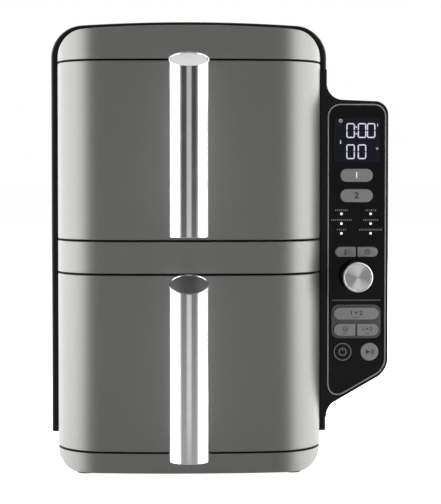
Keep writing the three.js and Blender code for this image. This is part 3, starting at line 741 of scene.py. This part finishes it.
def rounded_block(name, low, high, radius, foot=0):
    """A block with round upright edges, and a round foot if asked."""
    piece = block(name, low, high)
    bottom = at(*low).z
    edit(piece)
    pick_items(piece, "EDGE", lambda edge: abs(edge.verts[0].co.z - edge.verts[1].co.z) > TOUCH)
    bpy.ops.mesh.bevel(offset=radius * MM, segments=10, affect="EDGES")
    leave()
    if foot:
        round_edges(piece, lambda co: near(co.z, bottom), foot, 6)
    return piece


# %% [markdown]
# ## The grey front
# Five moulded bands make the front: header, upper drawer, middle band, lower drawer and skirt. They
# share the bow, so the seams between them read as cuts in one surface. Each is a hollow moulding,
# open at the back, so its back face is deleted and Solidify gives it a wall. Its upper and lower
# rims are rounded first, because a mould can't leave a sharp edge, and that small round is what
# catches the light beside each dark seam.

# %% Front mouldings
BOW, CORNER, WALL, RIM = 820, 42, 2.5, 0.9


def hollow_out(piece, back):
    depth = at(0, back, 0).y
    delete_faces(piece, lambda co: near(co.y, depth))
    wall(piece, WALL)


def front_band(name, low, high, back):
    """A band with its upper and lower rims rounded, apart from the edges at the open back."""
    piece = bowed_block(name, upright, HALF, BOW, CORNER, back, low, high)
    depth = at(0, back, 0).y
    for level in (low * MM, high * MM):
        edit(piece)
        pick_items(piece, "EDGE", lambda edge: all(near(vert.co.z, level) for vert in edge.verts)
                   and not all(near(vert.co.y, depth) for vert in edge.verts))
        bpy.ops.mesh.bevel(offset=RIM * MM, segments=4, affect="EDGES")
        leave()
    return piece


def drawer_front(place):
    low, high = FASCIA[place]
    piece = front_band(place + "_drawer_front", low.z, high.z, high.y)
    hollow_out(piece, high.y)
    arms = [block("arm_hole", (-7.9, -1, middle - 6.4), (7.9, 5, middle + 6.4))
            for middle in (low.z + 17, high.z - 17)]
    combine(piece, arms)
    settle(piece, place + "_drawer", "front_grey", place + "_fascia")


for place in DRAWERS:
    drawer_front(place)

band_low, band_high = local_box("middle_trim")
band = front_band("middle_band", band_low.z, band_high.z, band_high.y)
hollow_out(band, band_high.y)
settle(band, "housing", "front_grey", "middle_trim")
print("front band wall", WALL, "mm, radius", BOW, "mm")

# %% [markdown]
# The header ends in the round upper corners of the body, and the skirt in its round lower corners.
# Both start as the same bowed band. The part of it that lies inside the body's outline is kept, by an
# intersection with a block in that outline.

# %% Header and skirt
def clean_cut(piece):
    """Merge the slivers that a boolean leaves along a curved edge."""
    edit(piece)
    bpy.ops.mesh.select_all(action="SELECT")
    bpy.ops.mesh.remove_doubles(threshold=0.25 * MM)
    leave()


def end_band(band, outline, back, node):
    """Keep what lies inside the body's outline, and finish it as a hollow moulding."""
    combine(band, [outline], "INTERSECT")
    clean_cut(band)
    soften(band, RIM, 3, 40)
    hollow_out(band, back)
    settle(band, "housing", "front_grey", node)


TOP_BOW, INSIDE = 1435, HALF - 0.04
head_low, head_high = local_box("header_trim")
header = bowed_block("header", upright, HALF, BOW, CORNER, head_high.y, head_low.z, head_high.z + 6)
arch = bowed_block("arch", lying(head_high.z), INSIDE, TOP_BOW, 25, 50, -5, head_high.y + 5)
end_band(header, arch, head_high.y, "header_trim")

skirt_low, skirt_high = local_box("base_trim")
skirt = bowed_block("skirt", upright, HALF, BOW, CORNER, skirt_high.y, skirt_low.z, skirt_high.z)
tray = plate("tray", [(-INSIDE, skirt_low.z, 20), (INSIDE, skirt_low.z, 20), (INSIDE, 60, 0),
                      (-INSIDE, 60, 0)], -5, skirt_high.y + 5, 16)
end_band(skirt, tray, skirt_high.y, "base_trim")
print("header", len(header.data.polygons), "faces; skirt", len(skirt.data.polygons), "faces")

# %% [markdown]
# ## The black casing
# One wrap forms both sides and the top. It starts as the arched profile run from front to back. The
# front edge is rounded, the front face is inset to leave a lip round the opening, and the rear and
# the underside are opened before the wall grows inwards.

# %% Casing
shell_low, shell_high = local_box("outer_shell")
LIP, EDGE = 9.5, 2.5
casing = bowed_block("casing", lying(shell_high.z), shell_high.x, TOP_BOW, 28,
                     shell_high.z - shell_low.z + 15, shell_low.y, shell_high.y)
shell_front, shell_back = at(0, shell_low.y, 0).y, at(0, shell_high.y, 0).y
round_edges(casing, lambda co: near(co.y, shell_front), EDGE, 5)
edit(casing)
pick(casing, "FACE", lambda co: near(co.y, shell_front))
bpy.ops.mesh.inset(thickness=(LIP - EDGE) * MM)
bpy.ops.mesh.delete(type="FACE")
leave()
delete_faces(casing, lambda co: near(co.y, shell_back))
slice_off(casing, (0, 0, shell_low.z), (0, 0, -1), fill=False)
wall(casing, 3)
settle(casing, "housing", "casing", "outer_shell")
print("casing", [round(v, 1) for v in casing.dimensions * 1000], "mm")

# %% [markdown]
# ## Chrome bar handles
# Each handle is a thick chromed tube, cut at a slope on top and closed by a satin cap that sits a
# little below the rim. A cylinder is bisected by the sloping plane, the new face is inset to leave
# the tube's rim and pushed down to seat the cap, and the rims are rounded.

# %% Handles and caps
SLOPE = 0.42
TUBE_RIM = 1.2


def handle(place):
    low, high = local_box(place + "_handle")
    radius = (high.x - low.x) / 2
    axis_y = (low.y + high.y) / 2
    middle_top = high.z - SLOPE * radius
    bar = cylinder(place + "_bar", (0, axis_y, (low.z + high.z) / 2 + 5), radius,
                   high.z - low.z + 10, "Z", 96)
    slice_off(bar, (0, axis_y, middle_top), (0, -SLOPE, 1))
    edit(bar)
    pick_items(bar, "FACE", lambda face: len(face.verts) > 20
               and face.calc_center_median().z > (low.z + 60) * MM)
    bpy.ops.mesh.inset(thickness=TUBE_RIM * MM)
    draw(Vector((0, 0, -2 * MM)))
    leave()
    soften(bar, 0.45, 3, 50)
    settle(bar, place + "_drawer", "chrome", place + "_handle")

    cap_radius = radius - TUBE_RIM - 0.3
    cap = cylinder(place + "_bar_cap", (0, axis_y, high.z - 10), cap_radius, 60, "Z", 96)
    slice_off(cap, (0, axis_y, middle_top - 0.4), (0, -SLOPE, 1))
    slice_off(cap, (0, axis_y, middle_top - 1.7), (0, SLOPE, -1))
    soften(cap, 0.35, 3, 50)
    settle(cap, place + "_drawer", "satin_metal", place + "_handle_cap")
    return radius


print("bar radius", [round(handle(place), 1) for place in DRAWERS], "mm")

# %% [markdown]
# ## Pieces that keep their engineered shape
# The brackets, inner drawer panels, chambers, base pan, inner frame, digit module and both rear covers
# are right as engineered. They only need their edges broken, so each is copied, its loose triangles
# are merged, and a narrow bevel is applied.

# %% Softened copies
SOFTENED = [
    ("rear_cover", "rear_panel", "housing", "casing", 0.8),
    ("base_pan", "base_tray", "housing", "casing", 0.6),
    ("panel_back", "wing_cover", "housing", "casing", 0.8),
    ("front_frame", "inner_frame", "housing", "frame_steel", 0.3),
    ("display_module", "digit_module", "housing", "key_black", 0.3),
]
for place in DRAWERS:
    SOFTENED += [(place + "_handle_bracket", place + "_bar_arms", place + "_drawer", "drawer_inner", 0.7),
                 (place + "_drawer_core", place + "_inner_panel", place + "_drawer", "drawer_inner", 0.8),
                 (place + "_liner", place + "_chamber", "housing", "cavity_steel", 0.35)]
for node, name, body, finish, width in SOFTENED:
    piece = copy_of(node, name)
    soften(piece, width, 2, 40)
    settle(piece, body, finish, node)
print(len(SOFTENED), "softened copies")

# %% [markdown]
# ## Baskets and crisper plates
# A basket is a deep drawn tray with a rim that slides on the chamber's ledges. The rim, the tray and
# the well are three blocks with round corners, joined and cut, and slots at the back let the hot air
# in. The crisper plate lies above the bottom and is punched with rows of short slots.

# %% Baskets
def basket(place):
    low, high = local_box(place + "_basket")
    rim = rounded_block(place + "_basket", (low.x, low.y, high.z - 1.8), high, 14)
    tray = rounded_block("tray", (low.x + 4, low.y, low.z), (high.x - 4, high.y - 2, high.z - 0.5), 14, 5)
    combine(rim, [tray], "UNION")
    well = rounded_block("well", (low.x + 5.8, low.y + 1.8, low.z + 2),
                         (high.x - 5.8, high.y - 3.8, high.z + 5), 12.2, 6)
    slots = []
    pitch, half_slot = 17, 3
    for middle in (n * pitch for n in range(-4, 5)):
        outline = rectangle(middle - half_slot, low.z + 40, middle + half_slot, low.z + 100, 2.9)
        slots.append(plate("slot", outline, high.y - 8, high.y + 5, 5))
    combine(rim, [well, fused("slots", slots)])
    soften(rim, 0.4, 2, 40)
    return settle(rim, place + "_drawer", "nonstick", place + "_basket")


def crisper(place):
    low, high = local_box(place + "_crisper_plate")
    sheet = rounded_block(place + "_crisper", (low.x, low.y, high.z - 2), high, 12)
    middle_y = (low.y + high.y) / 2
    first = rounded_block("slot", (-11, middle_y - 2.5, high.z - 6), (11, middle_y + 2.5, high.z + 4), 2.4)
    across, along, stagger = 34, 23, 6
    slots = repeated(first, [(column * across, row * along + (stagger if column % 2 else 0) - 2, 0)
                             for column in range(-2, 3) for row in range(-4, 5)])[1:]
    bpy.data.objects.remove(first)
    combine(sheet, [fused("slots", slots)])
    soften(sheet, 0.3, 2, 40)
    legs = []
    for x in (-80, 80):
        for y in (low.y + 14, high.y - 14):
            legs.append(lathe("leg", [(0, low.z), (2.6, low.z), (3.2, low.z + 0.8), (3.2, high.z - 1.5),
                                      (0, high.z - 1.5)], (x, y, 0), "Z", 20))
    fused(sheet.name, [sheet] + legs)
    return settle(sheet, place + "_plate", "nonstick", place + "_crisper_plate")


for place in DRAWERS:
    print(place, "basket", len(basket(place).data.polygons), "crisper", len(crisper(place).data.polygons))

# %% [markdown]
# ## The control wing
# The wing stands beside the drawers. Its bezel is one black plate that also runs up and down the
# casing as a narrow strip. A pocket in it holds the gloss panel, with a thin grey line round it.

# %% Bezel, line and gloss face
face_low, face_high = local_box("panel_face")
BEZEL_Y = local_box("panel_bezel")[0].y
STRIP = 118.5
WING_CORNERS = [(113, 44.5, 0), (STRIP, 44.5, 0), (STRIP, 53.4, 13), (171.6, 84.1, 18),
                (171.6, 316.6, 11.6), (STRIP, 318.7, 14), (STRIP, 344.2, 0), (113, 344.2, 0)]
INLAY = [(119.3, 56.6, 10), (169.7, 85.6, 16), (169.7, 314.6, 10.4), (119.3, 314.6, 11)]
FACE_Y, FACE_BACK, POCKET = face_low.y, face_high.y, 46.4

bezel = plate("wing_bezel", WING_CORNERS, BEZEL_Y, 47.7, 14)
pocket = plate("pocket", shrunk(INLAY, -0.3), BEZEL_Y - 1, POCKET, 14)
window = plate("window", shrunk(INLAY, 3), BEZEL_Y - 1, 49, 14)
combine(bezel, [pocket, window])
soften(bezel, 0.5, 3, 40)
settle(bezel, "housing", "casing", "panel_bezel")

line = plate("accent_line", INLAY, FACE_Y - 0.4, FACE_BACK, 14)
combine(line, [plate("inside", shrunk(INLAY, 1), FACE_Y - 2, FACE_BACK + 1, 14)])
nicks = [block("nick", (118, FACE_Y - 2, z - 0.5), (121, FACE_Y + 0.6, z + 0.5)) for z in (254.4, 150)]
combine(line, nicks)
soften(line, 0.15, 2, 40)
settle(line, "housing", "panel_line", "panel_accent")

# %% [markdown]
# Keys are pills and discs. One table gives each key's outline, and it serves three times: for the
# opening in the panel, for the key's cap, and for its hidden flange that stops it falling out.

# %% Key outlines
def pill(x, z, width, height, left_round=True, right_round=True):
    full, small = height / 2 - 0.02, 0.8
    left, right = (full if left_round else small), (full if right_round else small)
    return [(x - width / 2, z - height / 2, left), (x + width / 2, z - height / 2, right),
            (x + width / 2, z + height / 2, right), (x - width / 2, z + height / 2, left)]


FLANGE = 0.7


def key_outline(node, left_round=True, right_round=True):
    """A key's outline from its node, without the hidden flange."""
    low, high = local_box(node)
    return pill((low.x + high.x) / 2, (low.z + high.z) / 2, high.x - low.x - 2 * FLANGE,
                high.z - low.z - 2 * FLANGE, left_round, right_round)


KEYS = {
    "zone_1": key_outline("zone_1_button"), "zone_2": key_outline("zone_2_button"),
    "temperature": key_outline("temperature_button", True, False),
    "time": key_outline("time_button", False, True), "both_zones": key_outline("both_zones_button"),
    "sync": key_outline("sync_button", True, False), "match": key_outline("match_button", False, True),
    "power": key_outline("power_button"), "start": key_outline("start_button"),
}
CLEARANCE = 0.35
print({name: round(corners[1][0] - corners[0][0], 1) for name, corners in KEYS.items()})

# %% [markdown]
# The gloss face is one plate with all its openings cut at once. Behind the three preset keys a thin
# grey film is let in, with its own round corners.

# %% Gloss face and preset film
window_low, window_high = local_box("display_window")
dial_x, dial_z = (dial_low.x - MIDDLE) / MM + 12.8, (dial_low.z + dial_high.z) / 2 / MM
PANEL_CENTRE = (window_low.x + window_high.x) / 2


def key_holes(names, front, back):
    return [plate("hole", shrunk(KEYS[name], -CLEARANCE), front, back, 8) for name in names]


face = plate("gloss_face", shrunk(INLAY, 1.3), FACE_Y, FACE_BACK, 14)
holes = key_holes(KEYS, FACE_Y - 1, FACE_BACK + 1)
holes.append(cylinder("hole", (dial_x, FACE_Y, dial_z), 4.5, 6))
holes.append(plate("hole", rectangle(window_low.x - 0.3, window_low.z - 0.3, window_high.x + 0.3,
                                     window_high.z + 0.3, 2), FACE_Y - 1, FACE_BACK + 1, 6))
combine(face, [fused("holes", holes)])
soften(face, 0.2, 2, 40)
settle(face, "housing", "panel_gloss", "panel_face")

film = plate("preset_film", rectangle(123, 112.5, 165.4, 141.6, 6), FACE_Y - 0.12, FACE_Y - 0.01)
combine(film, [fused("holes", key_holes(["both_zones", "sync", "match"], FACE_Y - 1, FACE_Y + 1))])
settle(film, "housing", "preset_grey", slot="panel_line")

glass = plate("display_glass", rectangle(window_low.x, window_low.z, window_high.x, window_high.z, 2),
              window_low.y, window_high.y, 6)
soften(glass, 0.35, 3, 40)
settle(glass, "housing", "display", "display_window")

# %% [markdown]
# A key's cap stands a little proud of the panel, with a soft edge. Its flange and its stem, which
# presses the switch on the board, are hidden but modelled, so that each key is a whole piece.

# %% Keys
CAP_BACK, FLANGE_FRONT, FLANGE_BACK, STEM_FRONT = 46.9, 46.4, 47.4, 47


def key_cap(name, finish):
    low, high = local_box(name + "_button")
    outline = KEYS[name]
    cap = plate(name + "_key", outline, low.y, CAP_BACK, 10)
    cap_front = at(0, low.y, 0).y
    round_edges(cap, lambda co: near(co.y, cap_front), 0.5, 4)
    flange = plate("flange", shrunk(outline, -FLANGE), FLANGE_FRONT, FLANGE_BACK, 6)
    middle = ((low.x + high.x) / 2, (STEM_FRONT + high.y) / 2, (low.z + high.z) / 2)
    stem = cylinder("stem", middle, 2, high.y - STEM_FRONT, sides=16)
    fused(name + "_key", [cap, flange, stem])
    settle(cap, name + "_key", finish, name + "_button")


for name in KEYS:
    key_cap(name, "key_black" if name == "power" else "key_grey")

# %% [markdown]
# ## Printing and light on the panel
# The prints are thin films, not paint in a material, so they stay crisp from any side. Each symbol is
# put together from bars, discs, rings and figures of one film thickness. They are generic signs: a
# clock for time, a thermometer for heat, tick marks for the programs and plain numbers for the zones.

# %% Films
FILM = 0.06
BOLD = 0.035
KEY_Y = local_box("zone_1_button")[0].y


def bar_film(x, z, width, height, y):
    return block("bar", (x - width / 2, y - FILM, z - height / 2), (x + width / 2, y, z + height / 2))


def disc_film(x, z, radius, y):
    return cylinder("disc", (x, y - FILM / 2, z), radius, FILM, sides=32)


def ring_film(x, z, radius, stroke, y):
    profile = [(radius - stroke, y - FILM), (radius, y - FILM), (radius, y), (radius - stroke, y),
               (radius - stroke, y - FILM)]
    return lathe("ring", profile, (x, 0, z), sides=48)


def shape_film(corners, y):
    return plate("shape", corners, y - FILM, y, 4)


def figure_film(characters, x, z, height, y):
    """Figures in the built-in face, made a mesh before they are placed."""
    bpy.ops.object.select_all(action="DESELECT")
    bpy.ops.object.text_add(rotation=(pi / 2, 0, 0))
    made = bpy.context.object
    made.data.body = characters
    made.data.size = height * 1.4 * MM
    made.data.align_x, made.data.align_y = "CENTER", "CENTER"
    made.data.extrude = FILM / 2 * MM
    made.data.offset = height * BOLD * MM
    made.data.resolution_u = 5
    bpy.ops.object.convert(target="MESH")
    made.location = at(x, y - FILM / 2, z)
    made = named("figure")
    outward(made)
    return made


def clock_films(x, z, radius, y):
    return [ring_film(x, z, radius, radius * 0.24, y),
            bar_film(x, z + radius * 0.28, radius * 0.2, radius * 0.62, y),
            bar_film(x + radius * 0.2, z, radius * 0.5, radius * 0.2, y)]


def heat_films(x, z, height, y):
    stem = pill(x, z + height * 0.12, height * 0.26, height * 0.76)
    return [shape_film(stem, y), disc_film(x, z - height * 0.32, height * 0.2, y)]


# %% [markdown]
# The display shows noughts, as it does before a program starts. One digit is built from six lit
# segments and then copied. The colon and the small signs share its light.

# %% Display figures
GLASS_Y = window_low.y
DIGIT_WIDTH, DIGIT_HEIGHT, STROKE = 7.4, 12.8, 1.05


def segment(x, z, length, upright_segment):
    """A lit segment with pointed ends."""
    long, half = length / 2, STROKE / 2
    points = [(-long, 0), (half - long, -half), (long - half, -half), (long, 0), (long - half, half),
              (half - long, half)]
    if upright_segment:
        points = [(-across, along) for along, across in points]
    return shape_film([(x + across, z + along, 0) for across, along in points], GLASS_Y)


def nought(x, z):
    side, level = (DIGIT_WIDTH - STROKE) / 2, (DIGIT_HEIGHT - STROKE) / 2
    parts = [segment(x, z + up * level, DIGIT_WIDTH - STROKE - 0.1, False) for up in (-1, 1)]
    parts += [segment(x + across * side, z + up * level / 2, level - 0.35, True)
              for across in (-1, 1) for up in (-1, 1)]
    return fused("nought", parts)


SECOND, THIRD, LOWER_ROW = 9.85, 17.7, -18.2
digits = repeated(nought(139.0, 291.7), [(SECOND, 0, 0), (THIRD, 0, 0), (0, 0, LOWER_ROW),
                                         (SECOND, 0, LOWER_ROW)])
digits += [bar_film(143.9, z, 1.2, 1.2, GLASS_Y) for z in (288.9, 294.6)]
digits.append(figure_film("1", 162.3, 296.2, 2.4, GLASS_Y))
digits.append(ring_film(161.9, 276.2, 0.9, 0.35, GLASS_Y))
digits += clock_films(130.4, 300.1, 1.5, GLASS_Y) + heat_films(130.4, 281.9, 3.2, GLASS_Y)
settle(fused("display_figures", digits), "housing", "digits", slot="display")

# %% [markdown]
# Under the zone keys are six program lamps in two columns, each with its own count of tick marks.

# %% Lamps and tick marks
LAMPS = [(x, z) for z in (220.0, 211.6, 203.2) for x in (131.3, 156.5)]
lamps = [disc_film(x, z, 1.05, FACE_Y) for x, z in LAMPS]
settle(fused("program_lamps", lamps), "housing", "lamp_white", slot="display")
ticks = []
TICK_STEP = 1.7
for count, (x, z) in zip((7, 6, 11, 8, 5, 12), LAMPS):
    for place in range(count):
        tall = 1.7 if place % 2 else 1.2
        ticks.append(bar_film(x + (place - (count - 1) / 2) * TICK_STEP, z + 3.1, 0.75, tall, FACE_Y))
ticks += [bar_film(PANEL_CENTRE + place * TICK_STEP, 145.4, 0.8, 0.9, FACE_Y) for place in range(-12, 13)]
settle(fused("program_ticks", ticks), "housing", "print_grey", slot="key_grey")

# %% [markdown]
# The keys carry dark signs, the first zone's number is light because that zone is chosen, and the
# power key has a thin ring with the usual power sign in it.

# %% Signs on the keys
def middle_of(name):
    corners = KEYS[name]
    return sum(corner[0] for corner in corners) / 4, sum(corner[1] for corner in corners) / 4


def sign(name, finish, draw_films):
    """Fuse the films that are drawn about a key's middle, and settle them on the key."""
    settle(fused(name + "_sign", draw_films(*middle_of(name))), name + "_key", finish, slot="key_grey")


def broken_ring(x, z, radius, stroke, gap_low, gap_high):
    """A ring with a gap cut in it, between two corners given as (x, z)."""
    ring = fused("broken_ring", [ring_film(x, z, radius, stroke, KEY_Y)])
    (left, low), (right, high) = gap_low, gap_high
    combine(ring, [block("gap", (left, KEY_Y - 1, low), (right, KEY_Y + 1, high))])
    return ring


sign("zone_1", "print_white", lambda x, z: [figure_film("1", x, z, 5, KEY_Y)])
sign("zone_2", "print_dark", lambda x, z: [figure_film("2", x, z, 5.4, KEY_Y)])
sign("temperature", "print_dark", lambda x, z: heat_films(x, z, 5, KEY_Y)
     + [bar_film(x + 3, z + rise, 2, 0.5, KEY_Y) for rise in (-1, 0.4, 1.8)])
sign("time", "print_dark", lambda x, z: clock_films(x, z, 2.3, KEY_Y))
sign("both_zones", "print_dark", lambda x, z: [figure_film("1 + 2", x, z + 0.4, 3.6, KEY_Y),
                                               bar_film(x, z - 3.3, 6, 0.4, KEY_Y)])
sign("match", "print_dark", lambda x, z: [figure_film("1 = 2", x - 0.6, z + 0.6, 3, KEY_Y),
                                          bar_film(x - 0.6, z - 3.2, 4.5, 0.4, KEY_Y)])
sign("sync", "print_dark", lambda x, z: [
    broken_ring(x + 0.6, z + 0.6, 2.2, 0.6, (x + 0.2, z + 1.2), (x + 1.2, z + 4)),
    disc_film(x + 0.6, z + 0.6, 0.6, KEY_Y), bar_film(x + 0.6, z - 3.2, 4.5, 0.4, KEY_Y)])
sign("start", "print_dark", lambda x, z: [
    shape_film([(x - 3, z - 2.2, 0), (x + 0.6, z, 0), (x - 3, z + 2.2, 0)], KEY_Y)]
    + [bar_film(x + side, z, 0.8, 4.2, KEY_Y) for side in (1.8, 3.3)])
sign("power", "print_grey", lambda x, z: [
    broken_ring(x, z, 3.4, 0.75, (x - 1, z + 1.5), (x + 1, z + 5)),
    bar_film(x, z + 2.4, 0.75, 3, KEY_Y), ring_film(x, z, 7.6, 0.7, KEY_Y)])
print("signs on", len(KEYS), "keys")

# %% [markdown]
# ## The dial
# The knob is a black drum that flares towards the panel. Its cap is a disc of spun aluminium with a
# chamfered edge. Both are turned from their profiles.

# %% Dial
KNOB_BACK = local_box("dial_knob")[1].y
TIP = (dial_low.y - FRONT_LINE) / MM
drum = lathe("dial_drum", [
    (0, TIP + 2), (13.0, TIP + 2), (13.4, TIP + 2.5), (13.6, TIP + 8), (13.9, FACE_Y - 3.4),
    (14.2, FACE_Y - 3), (14.2, FACE_Y - 1.2), (13.9, FACE_Y - 0.8), (3, FACE_Y - 0.8),
    (3, KNOB_BACK), (0, KNOB_BACK)], (dial_x, 0, dial_z))
settle(drum, "dial", "key_black", "dial_knob", angle=40)
disc = lathe("dial_disc", [
    (0, TIP + 0.35), (11.2, TIP + 0.35), (11.6, TIP), (12.2, TIP), (12.8, TIP + 0.6), (12.8, TIP + 1.7),
    (0, TIP + 1.7)], (dial_x, 0, dial_z), sides=96)
settle(disc, "dial", "dial_face", "dial_cap", slot="satin_metal", angle=25)
print("dial", round(dial_x, 1), round(dial_z, 1))

# %% [markdown]
# ## Feet and gland
# Four rubber feet carry the fryer. The gland grips the mains lead where it goes into the back. All
# five are turned.

# %% Feet and gland
for end in ("front", "rear"):
    for side in ("left", "right"):
        node = "foot_" + end + "_" + side
        low, high = local_box(node)
        middle = ((low.x + high.x) / 2, (low.y + high.y) / 2, 0)
        foot = lathe(end + "_" + side + "_foot", [
            (0, 0.6), (4.5, 0.6), (5, 0), (7.4, 0), (8, 0.7), (8, 3.6), (7.4, 4.2), (3.6, 4.2),
            (3.6, high.z), (0, high.z)], middle, "Z", 40)
        settle(foot, "housing", "rubber", node)

gland_low, gland_high = local_box("cord_gland")
gland_x, gland_z = (gland_low.x + gland_high.x) / 2, (gland_low.z + gland_high.z) / 2
END = gland_high.y
gland = lathe("lead_gland", [
    (4, END - 12), (9, END - 12), (9.5, END - 11.5), (9.5, END - 7.3), (7, END - 7.3), (7, END - 3.7),
    (9, END - 3.7), (9.5, END - 3.2), (9.5, END - 2), (9, END - 1.5), (7.4, END - 1.1), (6.8, END - 0.3),
    (6.4, END), (4.4, END), (4, END - 0.4), (4, END - 12)],
    (gland_x, 0, gland_z), sides=48)
settle(gland, "housing", "rubber", "cord_gland")

# %% [markdown]
# Six pan-head screws hold the rear panel. One is turned from its profile and its cross recess is cut
# by two crossed blocks. The others are copies, because a factory uses one screw throughout.

# %% Rear screws
REAR_Y = gland_high.y - 4
SCREW_X, SCREW_Z, SPAN, STEP = -104, 54, 208, 146
first = lathe("rear_screws", [
    (0, REAR_Y - 1), (1.6, REAR_Y - 1), (1.6, REAR_Y + 0.1), (3.6, REAR_Y + 0.1), (3.6, REAR_Y + 0.9),
    (3.0, REAR_Y + 1.6), (1.8, REAR_Y + 2), (0, REAR_Y + 2.1)], (SCREW_X, 0, SCREW_Z), sides=32)
combine(first, [block("cross", (SCREW_X - wide, REAR_Y + 1, SCREW_Z - tall),
                      (SCREW_X + wide, REAR_Y + 3, SCREW_Z + tall))
                for wide, tall in ((1.9, 0.35), (0.35, 1.9))])
screws = repeated(first, [(dx, 0, dz) for dx in (0, SPAN) for dz in (0, STEP, 2 * STEP)][1:])
settle(fused("rear_screws", screws), "housing", "screw_steel", slot="frame_steel")

# %% [markdown]
# ## Studio
# The fryer stands on a plain pale floor. Two tall softboxes light it from the sides, and they are
# what the chrome and the round front corners show. A dim, narrow feather in front of each softens the
# edges of their reflections. A card behind the camera puts a light strip down the middle of each bar.
# The room between them stays dark, and weaker boxes above and behind light the top and the back.

# %% Floor, lights and world
def softbox(name, centre, target, width, height, radiance):
    """An area light of a given size and radiance, turned to a target."""
    light = bpy.data.lights.new(name, "AREA")
    light.shape = "RECTANGLE"
    light.size, light.size_y = width, height
    light.energy = radiance * pi * width * height
    lamp_object = bpy.data.objects.new(name, light)
    bpy.context.scene.collection.objects.link(lamp_object)
    lamp_object.location = centre
    lamp_object.rotation_euler = (Vector(target) - Vector(centre)).to_track_quat("-Z", "Y").to_euler()


SIDE_REACH = 0.95
for name, side in (("left", -1), ("right", 1)):
    x = MIDDLE + side * SIDE_REACH
    for kind, y, width, radiance in (("_softbox", FRONT_LINE + 0.9, 3.2, 3.3),
                                     ("_feather", FRONT_LINE - 0.85, 0.3, 0.4)):
        softbox(name + kind, (x, y, 0.6), (MIDDLE, y, 0.6), width, 1.9, radiance)
softbox("front_card", (MIDDLE, FRONT_LINE - 2.4, 0.5), (MIDDLE, FRONT_LINE, 0.3), 1.1, 1.8, 0.45)
softbox("top_softbox", (MIDDLE, FRONT_LINE + 0.3, 2.0), (MIDDLE, FRONT_LINE + 0.3, 0), 1.6, 1.6, 0.8)
softbox("rear_softbox", (MIDDLE, FRONT_LINE + 2.6, 1.3), (MIDDLE, FRONT_LINE, 0.6), 3.2, 3.0, 1.3)

bpy.ops.object.select_all(action="DESELECT")
bpy.ops.mesh.primitive_plane_add(size=40, location=(0, -0.3, 0))
floor = named("floor")
floor.visible_glossy = False
floor_paint, floor_tree, floor_shader = material("floor_white", (0.86, 0.86, 0.86), 0.75,
                                                 Emission_Color=(1, 1, 1, 1), Emission_Strength=0.94)
wash = add(floor_tree, "TexNoise", {"Vector": object_vector(floor_tree), "Scale": 3.0})
tone = mix_colour(floor_tree, wash.outputs["Fac"], (0.85, 0.85, 0.85, 1), (0.87, 0.87, 0.87, 1))
floor_tree.links.new(tone, floor_shader.inputs["Base Color"])
floor.data.materials.append(floor_paint)

world = bpy.data.worlds.new("studio")
bpy.context.scene.world = world
world.use_nodes = True
sky = world.node_tree
sky.nodes.clear()
path = sky.nodes.new("ShaderNodeLightPath")
up = add(sky, "SeparateXYZ", {0: sky.nodes.new("ShaderNodeTexCoord").outputs["Generated"]}).outputs["Z"]
level = add(sky, "MapRange", {"Value": up, "From Min": -0.2, "From Max": 0.0, "To Min": 0.42,
                              "To Max": 0.055})
room = add(sky, "Background", {"Color": (1, 1, 1, 1), "Strength": level.outputs[0]})
paper = add(sky, "Background", {"Color": (1, 1, 1, 1), "Strength": 1.0})
choice = sky.nodes.new("ShaderNodeMixShader")
sky.links.new(path.outputs["Is Camera Ray"], choice.inputs[0])
sky.links.new(room.outputs[0], choice.inputs[1])
sky.links.new(paper.outputs[0], choice.inputs[2])
sky.links.new(choice.outputs[0], sky.nodes.new("ShaderNodeOutputWorld").inputs[0])

# %% [markdown]
# The camera stands in front of the drawers' middle, 1.2 m back and two thirds of the way up, and looks
# slightly to the right and down. The shift places the fryer in the picture as in the photograph.

# %% Camera
BACK, HEIGHT, TILT, PAN = 1.2, 0.2553, 1.7, 1.244
camera_data = bpy.data.cameras.new("camera")
camera_data.lens = 103.36
camera_data.sensor_width = 36
camera_data.shift_y = -0.0718
camera_data.clip_end = 50
camera = bpy.data.objects.new("camera", camera_data)
bpy.context.scene.collection.objects.link(camera)
camera.location = (MIDDLE, FRONT_LINE - BACK, HEIGHT)
camera.rotation_euler = (radians(90 - TILT), 0, radians(-PAN))
bpy.context.scene.camera = camera
bpy.context.scene.view_settings.view_transform = "Standard"
